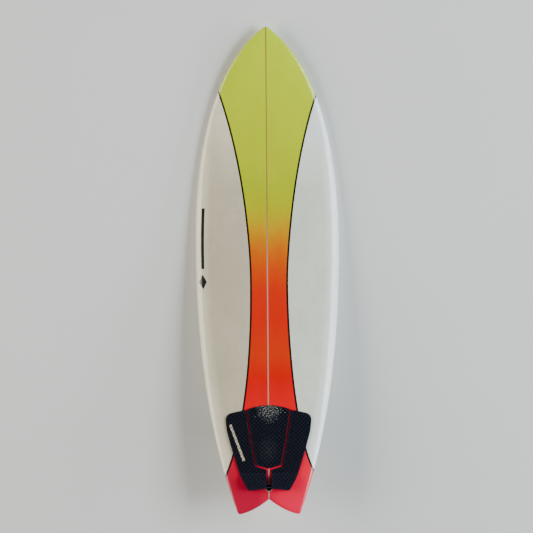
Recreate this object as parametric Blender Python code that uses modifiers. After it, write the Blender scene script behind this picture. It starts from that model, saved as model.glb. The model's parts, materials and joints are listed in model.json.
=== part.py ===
"""A swallow-tail shortboard, built as its real pieces: two foam halves, a wooden stringer,
deck and bottom laminates, a five-piece traction pad, a leash plug, and four fins that
plug into eight fin plugs with a grub screw each.

Every piece is drawn in the board's own axes: +X runs from the tail tips to the nose,
+Y points to the left rail and +Z out of the deck. The whole board is then pitched
forward and lifted, so that it stands on its front fins and its belly with Z = 0 as floor.
Lengths are in metres.
"""

import math

import bmesh
import bpy
import numpy as np
from mathutils import Matrix, Vector

MM = 0.001
GAP = 0.3 * MM  # what touching pieces keep between them
THROUGH = 20 * MM  # how far a cutter reaches past what it cuts

# How many sides the round pieces have.
TURNED_SIDES = 20
BAR_SIDES = 24
SCREW_SIDES = 12

# The board.
LENGTH = 1727 * MM  # 5 ft 8 in
WIDTH = 508.8 * MM  # 20 in
THICKNESS = 60 * MM  # 2 3/8 in
WIDE_POINT = 943 * MM  # where it is widest, from the tail tips
THICK_POINT = 870 * MM
LOW_POINT = 800 * MM  # where the bottom is lowest when the board lies level
NOSE_ROCKER = 120 * MM
TAIL_ROCKER = 54 * MM
NOSE_THICKNESS = 11 * MM
TAIL_THICKNESS = 14 * MM
NOSE_TIP_RADIUS = 4.5 * MM
TAIL_TIP_RADIUS = 7 * MM
TAIL_HALF_WIDTH = 109.8 * MM
RAIL_APEX = 0.36  # height of the rail's widest line, as a share of the thickness
CONCAVE = 4 * MM
DECK_EDGE_ROUND = 16 * MM  # how far the deck takes to round down to the tail's cut-out
BOTTOM_EDGE_ROUND = 5 * MM
CROTCH = 52 * MM  # depth of the swallow tail's cut-out

# The pieces of the hull.
LAMINATE = 1.0 * MM
SEAM = 0.2 * MM  # each laminate stops this far short of the rail's widest line
FOAM_INSET = LAMINATE + 0.5 * MM  # leaves room for facets that don't quite match
STRINGER_WIDTH = 4 * MM
STRINGER_SHORT = 2.5 * MM  # how far short of the foam's ends it stops
HALF_FROM = STRINGER_WIDTH / 2 + GAP  # each foam half starts here

# How finely the hull is divided.
FAN_STATIONS = 6  # stations that swing round from the cut-out to the tail tip
FAN_LENGTH = 100 * MM
BODY_STATIONS = 19
STATION_CROWDING = 0.10  # draws the body's stations towards its two ends
TIP_STATIONS = (4 * MM, 1 * MM)  # more stations, at these distances from the nose
CROTCH_STATIONS = (3.5 * MM, 11 * MM)  # and at these from the cut-out's crotch
DECK_ROWS = 7
BOTTOM_ROWS = 5

# The traction pad.
PAD_LIFT = 0.45 * MM
PAD_THICKNESS = 5 * MM
KICK_HEIGHT = 22 * MM
KICK_FRONT = 147 * MM
KICK_CREST = 104 * MM
KICK_INSET = 1.5 * MM

# The leash plug.
PLUG_AT = 94.5 * MM
CUP_RADIUS = 11.5 * MM
CUP_DEPTH = 15 * MM
CUP_CAVITY_RADIUS = 10 * MM
CUP_CAVITY_DEPTH = 12.5 * MM
COLLAR_RADIUS = 14 * MM
COLLAR_DEPTH = 3 * MM
BAR_RADIUS = 1.75 * MM
BAR_DEPTH = 4.5 * MM

# The fin plugs and grub screws.
FIN_PLUG_RADIUS = 13 * MM
FIN_PLUG_BODY_RADIUS = 11.8 * MM
FIN_PLUG_FLANGE = 2.5 * MM
FIN_PLUG_DEPTH = 15 * MM
FIN_PLUG_PROUD = 4 * MM  # trimmed off flush with the bottom
TAB_LENGTH = 19.5 * MM
TAB_THICKNESS = 6.2 * MM
TAB_DEPTH = 11 * MM
SLOT_DEPTH = 12 * MM
FIN_CLEARANCE = 1.0 * MM  # between a fin's base and the bottom
SCREW_RADIUS = 2 * MM
SCREW_LENGTH = 7 * MM
SCREW_LEAN = math.radians(25)
SCREW_TIP_DEPTH = 8 * MM
SOCKET_RADIUS = 1.2 * MM
SOCKET_DEPTH = 3 * MM

# Each pair of fins: place of its centre, angles, size, and how it is foiled.
FINS = {
    "front": dict(along=335 * MM, out=165 * MM, toe=3.0, cant=6.5, base=112 * MM, depth=114 * MM,
                  thick=8.5 * MM, tabs=66 * MM, flat_inside=True),
    "rear": dict(along=187 * MM, out=122 * MM, toe=2.0, cant=4.0, base=98 * MM, depth=98 * MM,
                 thick=7.5 * MM, tabs=56 * MM, flat_inside=False),
}
FIN_STATIONS = 10
FOIL_POINTS = 7
SIDES = {"left": 1, "right": -1}

# Base colour, roughness and metallic value of each material.
MATERIALS = {
    "foam": ((0.93, 0.91, 0.86), 0.9, 0.0),
    "stringer_wood": ((0.62, 0.45, 0.29), 0.7, 0.0),
    "gloss_laminate": ((0.80, 0.79, 0.75), 0.12, 0.0),
    "pad_foam": ((0.012, 0.014, 0.022), 0.85, 0.0),
    "plug_black": ((0.015, 0.015, 0.017), 0.4, 0.0),
    "resin_white": ((0.78, 0.77, 0.74), 0.25, 0.0),
    "steel": ((0.62, 0.62, 0.63), 0.25, 1.0),
    "plug_grey": ((0.55, 0.56, 0.57), 0.45, 0.0),
    "fin_composite": ((0.02, 0.022, 0.026), 0.3, 0.0),
}


# ---------------------------------------------------------------- the hull's lines

def bezier(points, count):
    """Points along a Bezier curve of any degree."""
    t = np.linspace(0.0, 1.0, count)[:, None]
    level = [np.array(p, float) + 0.0 * t for p in points]
    while len(level) > 1:
        level = [(1 - t) * a + t * b for a, b in zip(level, level[1:])]
    return level[0]


OUTLINE = np.vstack([
    bezier([(0, TAIL_HALF_WIDTH), (308 * MM, 227.7 * MM), (674 * MM, WIDTH / 2),
            (WIDE_POINT, WIDTH / 2)], 160),
    bezier([(WIDE_POINT, WIDTH / 2), (1160 * MM, WIDTH / 2), (1557 * MM, 233.6 * MM),
            (LENGTH, NOSE_TIP_RADIUS)], 240)[1:],
])


def half_width(x, inset=0.0):
    """Half the board's width at x, rounded at the tips and drawn in by inset."""
    x = np.asarray(x, float)
    span = np.where(x > WIDE_POINT, LENGTH - WIDE_POINT, WIDE_POINT)
    reach = np.clip(x + inset * (x - WIDE_POINT) / span, 0, LENGTH)
    width = np.interp(reach, OUTLINE[:, 0], OUTLINE[:, 1])
    for from_end, radius in ((reach, TAIL_TIP_RADIUS), (LENGTH - reach, NOSE_TIP_RADIUS)):
        short = np.clip(1 - from_end / radius, 0, 1)
        width = width - radius * (1 - np.sqrt(1 - short**2))
    return width - inset


def tail_tip(inset):
    """Where the cut-out's edge meets the outline."""
    x = 1.3 * inset
    return x, float(half_width(x, inset))


def notch(y, inset=0.0):
    """How far forward the tail's cut-out reaches at y off the centreline."""
    tip_x, tip_y = tail_tip(inset)
    edge = bezier([(CROTCH + 1.35 * inset, 0), (9.7 * MM + 1.25 * inset, 54.2 * MM),
                   (tip_x, tip_y)], 120)
    return np.interp(y, edge[:, 1], edge[:, 0])


def rocker(x):
    """Height of the bottom along the centreline."""
    x = np.asarray(x, float)
    nose = np.clip((x - LOW_POINT) / (LENGTH - LOW_POINT), 0, None)
    tail = np.clip((LOW_POINT - x) / LOW_POINT, 0, None)
    return NOSE_ROCKER * nose**2.05 + TAIL_ROCKER * tail**2.2


def thickness(x):
    x = np.asarray(x, float)
    nose = np.clip((x - THICK_POINT) / (LENGTH - THICK_POINT), 0, 1)
    tail = np.clip((THICK_POINT - x) / THICK_POINT, 0, 1)
    return (THICKNESS - (THICKNESS - NOSE_THICKNESS) * nose**1.8
            - (THICKNESS - TAIL_THICKNESS) * tail**2.2)


def apex(x):
    """Height of the rail's widest line."""
    return rocker(x) + RAIL_APEX * thickness(x)


def fullness(x, y, inset, power, root, edge_round):
    """1 in the middle of the board, and 0 on its outline and on the cut-out's edge."""
    across = np.clip(y / np.maximum(half_width(x, inset), 1e-7), 0, 1)
    past = np.clip((x - notch(y, inset)) / edge_round, 0, 1)
    return (1 - across**power) ** root * np.sqrt(1 - (1 - past) ** 2)


def deck(x, y, inset=0.0):
    """Height of the domed deck."""
    crown = (1 - RAIL_APEX) * thickness(x) - inset
    return apex(x) + crown * fullness(x, np.abs(y), inset, 2.5, 0.555, DECK_EDGE_ROUND)


def bottom(x, y, inset=0.0):
    """Height of the bottom, with its concave."""
    y = np.abs(y)
    belly = RAIL_APEX * thickness(x) - inset
    across = np.clip(y / np.maximum(half_width(x, inset), 1e-7) / 0.8, 0, 1)
    along = np.clip(np.sin(math.pi * np.asarray(x) / LENGTH), 0, 1)
    hollow = CONCAVE * along**1.5 * (1 - across**2) ** 2
    full = fullness(x, y, inset, 14, 0.5, BOTTOM_EDGE_ROUND)
    return apex(x) - belly * full + hollow * full


# ---------------------------------------------------------------- scene and helpers

def clear_scene():
    for thing in list(bpy.data.objects):
        bpy.data.objects.remove(thing, do_unlink=True)


def collection(name, hidden=False):
    made = bpy.data.collections.new(name)
    bpy.context.scene.collection.children.link(made)
    made.hide_render = hidden
    return made


def material(name):
    found = bpy.data.materials.get(name)
    if found:
        return found
    color, roughness, metallic = MATERIALS[name]
    made = bpy.data.materials.new(name)
    made.use_nodes = True
    shader = made.node_tree.nodes["Principled BSDF"]
    shader.inputs["Base Color"].default_value = (*color, 1)
    shader.inputs["Roughness"].default_value = roughness
    shader.inputs["Metallic"].default_value = metallic
    return made


def add(name, mesh, finish=None, parent=None, matrix=None):
    """An object in its place. Without a finish it is a cutter."""
    made = bpy.data.objects.new(name, mesh)
    bpy.data.collections["surfboard" if finish else "cutters"].objects.link(made)
    made.parent = parent or bpy.data.objects["board"]
    made.matrix_local = matrix or Matrix()
    if finish:
        mesh.materials.clear()
        mesh.materials.append(material(finish))
    else:
        made.hide_render = True
        made.display_type = "WIRE"
    return made


def frame(name, matrix, parent=None):
    """An empty that carries the pieces of one fin or screw."""
    made = bpy.data.objects.new(name, None)
    bpy.data.collections["surfboard"].objects.link(made)
    made.parent = parent or bpy.data.objects["board"]
    made.matrix_local = matrix
    return made


def finish_mesh(bm, name, sharp=35):
    """A closed mesh from bm, smooth except along its sharp edges."""
    bmesh.ops.remove_doubles(bm, verts=bm.verts, dist=1e-6)
    bmesh.ops.dissolve_degenerate(bm, edges=bm.edges, dist=1e-6)
    bmesh.ops.recalc_face_normals(bm, faces=bm.faces)
    mesh = bpy.data.meshes.new(name)
    bm.to_mesh(mesh)
    bm.free()
    mesh.shade_smooth()
    mesh.set_sharp_from_angle(angle=math.radians(sharp))
    return mesh


def boolean(target, other, operation="DIFFERENCE"):
    cut = target.modifiers.new(f"{operation.lower()} {other.name}", "BOOLEAN")
    cut.operation = operation
    cut.object = other


def box(name, size, centre):
    bm = bmesh.new()
    bmesh.ops.create_cube(bm, size=1)
    bmesh.ops.scale(bm, vec=Vector(size), verts=bm.verts)
    bmesh.ops.translate(bm, vec=Vector(centre), verts=bm.verts)
    return finish_mesh(bm, name)


def cylinder(name, radius, low, high, segments):
    """A cylinder along Z."""
    bm = bmesh.new()
    bmesh.ops.create_cone(bm, cap_ends=True, segments=segments, radius1=radius,
                          radius2=radius, depth=high - low)
    bmesh.ops.translate(bm, vec=(0, 0, (low + high) / 2), verts=bm.verts)
    return finish_mesh(bm, name)


def turned(name, profile, finish, parent, matrix):
    """A profile of (radius, height) points spun round Z, its outer side running down.
    A profile that starts on the axis ends on it, and any other one is closed into a ring."""
    count = len(profile)
    edges = [(i, (i + 1) % count) for i in range(count if profile[0][0] else count - 1)]
    mesh = bpy.data.meshes.new(name)
    mesh.from_pydata([(r, 0, z) for r, z in profile], edges, [])
    made = add(name, mesh, finish, parent, matrix)
    spin = made.modifiers.new("spin", "SCREW")
    spin.steps = spin.render_steps = TURNED_SIDES
    spin.use_merge_vertices = True
    spin.merge_threshold = 1e-5
    return made


def plate(name, points, half_thickness, matrix=None, finish=None):
    """A flat outline with thickness, as a mesh. It lies in its own XY plane."""
    curve = bpy.data.curves.new(name, "CURVE")
    curve.dimensions = "2D"
    curve.fill_mode = "BOTH"
    curve.extrude = half_thickness
    spline = curve.splines.new("POLY")
    spline.points.add(len(points) - 1)
    for point, (x, y) in zip(spline.points, points):
        point.co = (x, y, 0, 1)
    spline.use_cyclic_u = True
    flat = bpy.data.objects.new(name, curve)
    bpy.context.scene.collection.objects.link(flat)
    bpy.context.view_layer.update()
    raw = bpy.data.meshes.new_from_object(flat.evaluated_get(bpy.context.evaluated_depsgraph_get()))
    bpy.data.objects.remove(flat)
    bm = bmesh.new()
    bm.from_mesh(raw)
    return add(name, finish_mesh(bm, name), finish, None, matrix)


def side_view():
    """Turns a plate's XY plane into the board's upright XZ plane."""
    return Matrix.Rotation(math.radians(90), 4, "X")


def rounded(corners, side_steps=6, corner_steps=3):
    """A closed outline from corners of (x, y, corner radius, bulge of the side that follows).
    A bulge is out of an outline whose corners run clockwise seen from +Z."""
    points = []
    sides = []
    for (x, y, radius, bulge), (x2, y2, radius2, _) in zip(corners, corners[1:] + corners[:1]):
        start, end = Vector((x, y)), Vector((x2, y2))
        run = end - start
        outward = Vector((-run.y, run.x)).normalized()
        middle = (start + end) / 2 + outward * 2 * bulge
        steps = side_steps if bulge else 2
        side = bezier([start, middle, end], 100)
        lengths = np.linspace(radius / run.length, 1 - radius2 / run.length, steps)
        sides.append([side[round(99 * t)] for t in lengths])
    for i, side in enumerate(sides):
        points += list(side)
        corner = corners[(i + 1) % len(corners)]
        if corner[2]:
            turn = bezier([side[-1], corner[:2], sides[(i + 1) % len(sides)][0]], corner_steps + 2)
            points += list(turn[1:-1])
    return [tuple(p) for p in points]


# ---------------------------------------------------------------- hull solids

def station_edges(inset):
    """Matching points on the inner and outer edge of one half, from tail tip to nose. The
    inner edge follows the cut-out and then the stringer's side."""
    tip_x, tip_y = tail_tip(inset)
    fan = np.linspace(0, 1, FAN_STATIONS)
    notch_y = HALF_FROM + (tip_y - HALF_FROM) * (1 - fan)
    in_x = notch(notch_y, inset)
    out_x = tip_x + (FAN_LENGTH - tip_x) * fan**1.6

    near_nose = np.linspace(LENGTH - 0.05, LENGTH, 4000)
    nose = near_nose[half_width(near_nose, inset) > HALF_FROM][-1]
    even = np.linspace(0, 1, BODY_STATIONS + 1)[1:]
    body = even - STATION_CROWDING * np.sin(2 * math.pi * even)
    span = nose - FAN_LENGTH
    extra = [d / span for d in CROTCH_STATIONS] + [1 - d / span for d in TIP_STATIONS]
    body = np.sort(np.append(body, extra))
    in_x = np.append(in_x, in_x[-1] + (nose - in_x[-1]) * body)
    out_x = np.append(out_x, FAN_LENGTH + span * body)

    in_y = np.append(notch_y, np.full(len(body), HALF_FROM))
    out_y = half_width(out_x, inset)
    in_y[0] = out_y[0] = tip_y
    out_y[-1] = HALF_FROM
    return np.column_stack([in_x, in_y]), np.column_stack([out_x, out_y])


def centreline(inset):
    """Where the stations from the cut-out on cross the centreline, and the nose tip."""
    x = station_edges(inset)[0][FAN_STATIONS - 1:, 0]
    x[0] = notch(0.0, inset)
    x[-1] = LENGTH - inset
    return x


def row_shares(rows, station):
    """How far across each row lies: close together at the rail, and on the fan at both edges."""
    even = np.linspace(0, 1, rows + 1)
    fan = np.clip((FAN_STATIONS + 5 - station) / 6, 0, 1)
    return (1 - fan) * np.sin(even * math.pi / 2) + fan * (1 - np.cos(even * math.pi)) / 2


def add_bulging_quad(bm, corners):
    """Two triangles, split along the diagonal that lies further from the rail's height."""
    a, b, c, d = corners
    middle = sum((v.co for v in corners), Vector()) / 4
    up = 1 if middle.z > apex(middle.x) else -1
    if up * (b.co.z + d.co.z) > up * (a.co.z + c.co.z):
        a, b, c, d = b, c, d, a
    for triangle in ((a, b, c), (a, c, d)):
        bm.faces.new(triangle)


def half_hull(name, inset, side=1, walled=False):
    """One half of the hull as a loft from the tail tip to the nose. Its inner side is a flat
    wall along the stringer, or reaches the centreline and is open for a Mirror."""
    inner_edge, outer_edge = station_edges(inset)
    last = len(inner_edge) - 1
    middle = centreline(inset)
    bm = bmesh.new()
    rings = []
    for k, (a, b) in enumerate(zip(inner_edge, outer_edge)):
        at_edge = k < FAN_STATIONS or k == last
        ring = []
        for height, rows in ((deck, DECK_ROWS), (bottom, BOTTOM_ROWS)):
            points = a + (b - a) * row_shares(rows, k)[:, None]
            z = height(points[:, 0], points[:, 1], inset)
            z[-1] = apex(b[0])
            if at_edge:
                z[0] = apex(a[0])
            if k == last:
                z[:] = apex(a[0])
            row = [Vector((x, side * y, h)) for (x, y), h in zip(points, z)]
            ring += row if height is deck else row[-2::-1]
        if not walled:
            x = middle[max(k - FAN_STATIONS + 1, 0)]
            top, under = (apex(x), apex(x)) if at_edge else (deck(x, 0, inset), bottom(x, 0, inset))
            ring = [Vector((x, 0, top)), *ring, Vector((x, 0, under))]
        rings.append([bm.verts.new(p) for p in ring])
    around = len(rings[0])
    for k, (first, second) in enumerate(zip(rings, rings[1:])):
        strips = range(around)
        if not walled:
            strips = range(around - 1) if k >= FAN_STATIONS - 1 else range(1, around - 2)
        for i in strips:
            j = (i + 1) % around
            add_bulging_quad(bm, [first[i], second[i], second[j], first[j]])
    for loose in [v for v in bm.verts if not v.link_faces]:
        bm.verts.remove(loose)
    return finish_mesh(bm, name, 50)


def mirrored(target):
    half = target.modifiers.new("other half", "MIRROR")
    half.use_axis = (False, True, False)
    half.merge_threshold = 1e-5


def make_cutters():
    """The whole hull, the space inside the laminates, and what lies above and below the rails."""
    for name, inset in (("hull_solid", 0.0), ("hull_inside", LAMINATE)):
        mirrored(add(name, half_hull(name, inset)))
    x = np.unique(np.concatenate([edge[:, 0] for edge in station_edges(0.0)]))
    line = list(zip(x, apex(x)))
    past = 0.05
    line = [(-past, line[0][1]), *line, (LENGTH + past, line[-1][1])]
    for name, reach, shift in (("below_rails", -0.1, SEAM), ("above_rails", 0.3, -SEAM)):
        edge = [(a, z + shift) for a, z in line]
        plate(name, [(-past, reach), *edge, (LENGTH + past, reach)], 0.4, side_view())


def make_laminates():
    """The glass skins that meet along the rails."""
    for name, beyond in (("deck_laminate", "below_rails"), ("bottom_laminate", "above_rails")):
        skin = add(name, half_hull(name, 0.0), "gloss_laminate")
        mirrored(skin)
        boolean(skin, bpy.data.objects["hull_inside"])
        boolean(skin, bpy.data.objects[beyond])


def make_core():
    """The two foam halves and the stringer between them."""
    for side_name, side in SIDES.items():
        name = f"foam_{side_name}"
        add(name, half_hull(name, FOAM_INSET, side, True), "foam")
    x = centreline(FOAM_INSET + STRINGER_SHORT)
    middle = np.zeros(len(x))
    top = deck(x, middle, FOAM_INSET + GAP)
    under = bottom(x, middle, FOAM_INSET + GAP)
    top[0], top[-1] = apex(x[0]), apex(x[-1])
    profile = list(zip(x, top)) + list(zip(x[-2:0:-1], under[-2:0:-1]))
    plate("stringer", profile, STRINGER_WIDTH / 2, side_view(), "stringer_wood")


# ---------------------------------------------------------------- traction pad

def slab(name, x_range, y_range, low, high, step):
    """A curved slab between two heights over a rectangle."""
    nx = math.ceil((x_range[1] - x_range[0]) / step)
    ny = math.ceil((y_range[1] - y_range[0]) / step)
    bm = bmesh.new()
    bmesh.ops.create_grid(bm, x_segments=nx, y_segments=ny, size=0.5)
    top = bmesh.ops.extrude_face_region(bm, geom=bm.faces[:])["geom"]
    raised = {v for v in top if isinstance(v, bmesh.types.BMVert)}
    for v in bm.verts:
        x = x_range[0] + (v.co.x + 0.5) * (x_range[1] - x_range[0])
        y = y_range[0] + (v.co.y + 0.5) * (y_range[1] - y_range[0])
        v.co = (x, y, float((high if v in raised else low)(x, y)))
    return add(name, finish_mesh(bm, name))


def pad_base(x, y):
    return deck(x, y) + PAD_LIFT


def pad_top(x, y):
    return pad_base(x, y) + PAD_THICKNESS


def kick_base(x, y):
    return pad_top(x, y) + GAP


def kick_top(x, y):
    """The kick climbs from a thin front edge to its crest, then levels off to the rear."""
    climb = np.clip((KICK_FRONT - x) / (KICK_FRONT - KICK_CREST), 0, 1)
    ease = climb * climb * (3 - 2 * climb)
    return kick_base(x, y) + 1 * MM + KICK_HEIGHT * ease


def side_outline(side, inset=0.0, front=None):
    """Outline of a side piece of the pad, or of the kick on it when front is given."""
    near = 8 * MM + inset
    outer = [
        (84 * MM + inset, 72 * MM - inset, 5 * MM, 2.5 * MM),
        (146 * MM, 104.5 * MM - inset, 0, 1.5 * MM),
    ]
    if front:
        corners = [(91 * MM + inset, near, 0, 0), *outer[:1],
                   (front, 104 * MM - inset, 0, 0), (front, near, 0, 0)]
    else:
        corners = [
            (91 * MM, near, 0, 0),
            *outer,
            (296 * MM, 148.5 * MM, 0, 0.5 * MM),
            (354 * MM, 154 * MM, 24 * MM, 1 * MM),
            (370 * MM, 80.8 * MM, 2 * MM, -2.5 * MM),
            (170 * MM, 47.6 * MM, 0, 0),
            (157.5 * MM, near, 0, 0),
        ]
    return rounded([(x, side * y, r, side * bulge) for x, y, r, bulge in corners])


def make_pad():
    low, high = 70 * MM, 395 * MM
    sheet = slab("pad_sheet", (low, high), (-160 * MM, 160 * MM), pad_base, pad_top, 32 * MM)
    wedge = slab("kick_wedge", (low, 160 * MM), (-120 * MM, 120 * MM), kick_base, kick_top, 15 * MM)
    centre = rounded([
        (162 * MM, 0, 0, 0),
        (174 * MM, 43 * MM, 2 * MM, 2.5 * MM),
        (372 * MM, 76 * MM, 2 * MM, 15 * MM),
        (372 * MM, -76 * MM, 2 * MM, 2.5 * MM),
        (174 * MM, -43 * MM, 2 * MM, 0),
    ])
    shapes = {"pad_center": (centre, sheet)}
    for side_name, side in SIDES.items():
        shapes[f"pad_{side_name}"] = (side_outline(side), sheet)
        kick = side_outline(side, KICK_INSET, KICK_FRONT - 1 * MM)
        shapes[f"kick_{side_name}"] = (kick, wedge)
    lift = Matrix.Translation((0, 0, 0.1))
    for name, (shape, layer) in shapes.items():
        piece = plate(name, shape, 0.15, lift, "pad_foam")
        boolean(piece, layer, "INTERSECT")


# ---------------------------------------------------------------- leash plug

def make_leash_plug():
    """A cup with a steel bar across it, in a resin collar, flush with the deck."""
    slope = math.atan2(float(deck(PLUG_AT + MM, 0) - deck(PLUG_AT - MM, 0)), 2 * MM)
    place = (Matrix.Translation((PLUG_AT, 0, float(deck(PLUG_AT, 0))))
             @ Matrix.Rotation(-slope, 4, "Y"))
    across = place @ Matrix.Translation((0, 0, -BAR_DEPTH)) @ Matrix.Rotation(math.pi / 2, 4, "X")
    cup = turned("leash_cup", [
        (0, -CUP_CAVITY_DEPTH), (CUP_CAVITY_RADIUS, -CUP_CAVITY_DEPTH), (CUP_CAVITY_RADIUS, 0),
        (CUP_RADIUS, 0), (CUP_RADIUS, -CUP_DEPTH), (0, -CUP_DEPTH),
    ], "plug_black", None, place)
    boolean(cup, add("bar_hole", cylinder("bar_hole", BAR_RADIUS + GAP, -THROUGH, THROUGH, BAR_SIDES),
                     None, None, across))
    inner = CUP_RADIUS + GAP
    turned("leash_collar", [
        (inner, -COLLAR_DEPTH), (inner, 0), (COLLAR_RADIUS, 0), (COLLAR_RADIUS, -COLLAR_DEPTH),
    ], "resin_white", None, place)
    reach = CUP_RADIUS - GAP
    add("leash_bar", cylinder("leash_bar", BAR_RADIUS, -reach, reach, BAR_SIDES), "steel", None, across)
    proud = 5 * MM
    pocket = turned("leash_pocket", [
        (0, proud), (COLLAR_RADIUS + GAP, proud), (COLLAR_RADIUS + GAP, -COLLAR_DEPTH - GAP),
        (inner, -COLLAR_DEPTH - GAP), (inner, -CUP_DEPTH - GAP), (0, -CUP_DEPTH - GAP),
    ], None, None, place)
    for name in ("deck_laminate", "foam_left", "foam_right", "stringer"):
        boolean(bpy.data.objects[name], pocket)


# ---------------------------------------------------------------- fins

def foil(count):
    """Shares of the chord from the leading edge back, and half thicknesses at them."""
    x = (1 - np.cos(np.linspace(0, math.pi, count))) / 2
    half = 5 * (0.2969 * np.sqrt(x) - 0.126 * x - 0.3516 * x**2 + 0.2843 * x**3 - 0.1036 * x**4)
    return x, np.maximum(half, 0.045 * np.sin(math.pi * np.clip(x, 0.02, 0.98)))


def fin_edges(base, depth):
    """Leading and trailing edge of a raked fin, as x at a height."""
    half = base / 2
    lead = bezier([(half, 0), (0.62 * half, 0.62 * depth), (-0.15 * half, 0.99 * depth),
                   (-1.25 * half, depth)], 200)
    trail = bezier([(-half, 0), (-0.62 * half, 0.36 * depth), (-0.90 * half, 0.80 * depth),
                    (-1.25 * half, depth)], 200)
    return lead, trail


def fin_mesh(name, base, depth, thick, flat_inside, outward):
    """The foiled blade of a fin, from its base up, with its inside flat or foiled too."""
    lead, trail = fin_edges(base, depth)
    share, half = foil(FOIL_POINTS)
    bm = bmesh.new()
    rings = []
    for height in depth * np.sin(np.linspace(0, math.pi / 2, FIN_STATIONS)):
        front = np.interp(height, lead[:, 1], lead[:, 0])
        back = np.interp(height, trail[:, 1], trail[:, 0])
        chord = front - back
        x = front - chord * share
        bulge = half * thick * chord / base
        if flat_inside:
            outside, inside = -TAB_THICKNESS / 2 + 2 * bulge, np.full(len(x), -TAB_THICKNESS / 2)
            inside = inside + 0.1 * bulge
        else:
            outside, inside = bulge, -bulge
        ring = [(a, outward * b, height) for a, b in zip(x, outside)]
        ring += [(a, outward * b, height) for a, b in zip(x[-2:0:-1], inside[-2:0:-1])]
        rings.append([bm.verts.new(p) for p in ring])
    around = len(rings[0])
    for first, second in zip(rings, rings[1:]):
        for i in range(around):
            j = (i + 1) % around
            bm.faces.new([first[i], first[j], second[j], second[i]])
    bm.faces.new(rings[0])
    bmesh.ops.translate(bm, vec=(0, 0, FIN_CLEARANCE), verts=bm.verts)
    return finish_mesh(bm, name, 60)


def fin_frame(at, side):
    """Axes at a fin's centre on the bottom: X forward along its base, Z out along its depth."""
    x, y = at["along"], at["out"]
    rise = float(bottom(x + MM, y) - bottom(x - MM, y)) / (2 * MM)
    z_axis = Vector((rise, side * math.tan(math.radians(at["cant"])), -1)).normalized()
    toe = math.radians(at["toe"])
    forward = Vector((math.cos(toe), -side * math.sin(toe), 0))
    x_axis = (forward - forward.dot(z_axis) * z_axis).normalized()
    y_axis = z_axis.cross(x_axis)
    turn = Matrix((x_axis, y_axis, z_axis)).transposed().to_4x4()
    return Matrix.Translation((x, side * y, float(bottom(x, y)))) @ turn


def make_fin(pair, side_name):
    """One fin with its two plugs and two grub screws."""
    at, side = FINS[pair], SIDES[side_name]
    label = f"{pair}_{side_name}"
    outward = -side  # this frame's Y points to the right rail
    holder = frame(f"{label}_frame", fin_frame(at, side))
    blade = fin_mesh(f"fin_{label}", at["base"], at["depth"], at["thick"], at["flat_inside"], outward)
    fin = add(f"fin_{label}", blade, "fin_composite", holder)
    tab_low, tab_high = -TAB_DEPTH, FIN_CLEARANCE + 1.2 * MM
    for place, sign in (("fore", 1), ("aft", -1)):
        centre = sign * at["tabs"] / 2
        tab_name = f"tab_{label}_{place}"
        tab = box(tab_name, (TAB_LENGTH, TAB_THICKNESS, tab_high - tab_low),
                  (centre, 0, (tab_low + tab_high) / 2))
        boolean(fin, add(tab_name, tab, None, holder), "UNION")
        make_fin_plug(f"{label}_{place}", holder, centre, outward)


def make_fin_plug(label, holder, centre, outward):
    """A round plug let into the bottom, with a slot for the fin's tab and a slanted screw."""
    place = Matrix.Translation((centre, 0, 0))
    plug = turned(f"fin_plug_{label}", [
        (0, FIN_PLUG_PROUD), (FIN_PLUG_RADIUS, FIN_PLUG_PROUD), (FIN_PLUG_RADIUS, -FIN_PLUG_FLANGE),
        (FIN_PLUG_BODY_RADIUS, -FIN_PLUG_FLANGE), (FIN_PLUG_BODY_RADIUS, -FIN_PLUG_DEPTH),
        (0, -FIN_PLUG_DEPTH),
    ], "plug_grey", holder, place)
    boolean(plug, bpy.data.objects["hull_solid"], "INTERSECT")
    slot = box(f"slot_{label}", (TAB_LENGTH + 2 * GAP, TAB_THICKNESS + 2 * GAP, SLOT_DEPTH + THROUGH),
               (0, 0, (THROUGH - SLOT_DEPTH) / 2))
    boolean(plug, add(f"slot_{label}", slot, None, holder, place))

    pocket = turned(f"pocket_{label}", [
        (0, 8 * MM), (FIN_PLUG_RADIUS + GAP, 8 * MM), (FIN_PLUG_RADIUS + GAP, -FIN_PLUG_FLANGE - GAP),
        (FIN_PLUG_BODY_RADIUS + GAP, -FIN_PLUG_FLANGE - GAP),
        (FIN_PLUG_BODY_RADIUS + GAP, -FIN_PLUG_DEPTH - GAP), (0, -FIN_PLUG_DEPTH - GAP),
    ], None, holder, place)
    side_name = "left" if "left" in label else "right"
    for name in ("bottom_laminate", f"foam_{side_name}"):
        boolean(bpy.data.objects[name], pocket)

    # The screw's tip clears the tab's side by GAP, and its axis leans away from the tab.
    tip_out = TAB_THICKNESS / 2 + GAP + SCREW_RADIUS * math.cos(SCREW_LEAN)
    lean = Matrix.Rotation(-outward * SCREW_LEAN, 4, "X")
    seat = place @ Matrix.Translation((0, outward * tip_out, -SCREW_TIP_DEPTH)) @ lean
    body = cylinder(f"grub_screw_{label}", SCREW_RADIUS, 0, SCREW_LENGTH, SCREW_SIDES)
    screw = add(f"grub_screw_{label}", body, "steel", holder, seat)
    socket = cylinder(f"socket_{label}", SOCKET_RADIUS, SCREW_LENGTH - SOCKET_DEPTH, THROUGH, 6)
    boolean(screw, add(f"socket_{label}", socket, None, holder, seat))
    hole = cylinder(f"screw_hole_{label}", SCREW_RADIUS + GAP, -0.5 * MM, THROUGH, SCREW_SIDES)
    boolean(plug, add(f"screw_hole_{label}", hole, None, holder, seat))


# ---------------------------------------------------------------- standing on the floor

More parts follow.
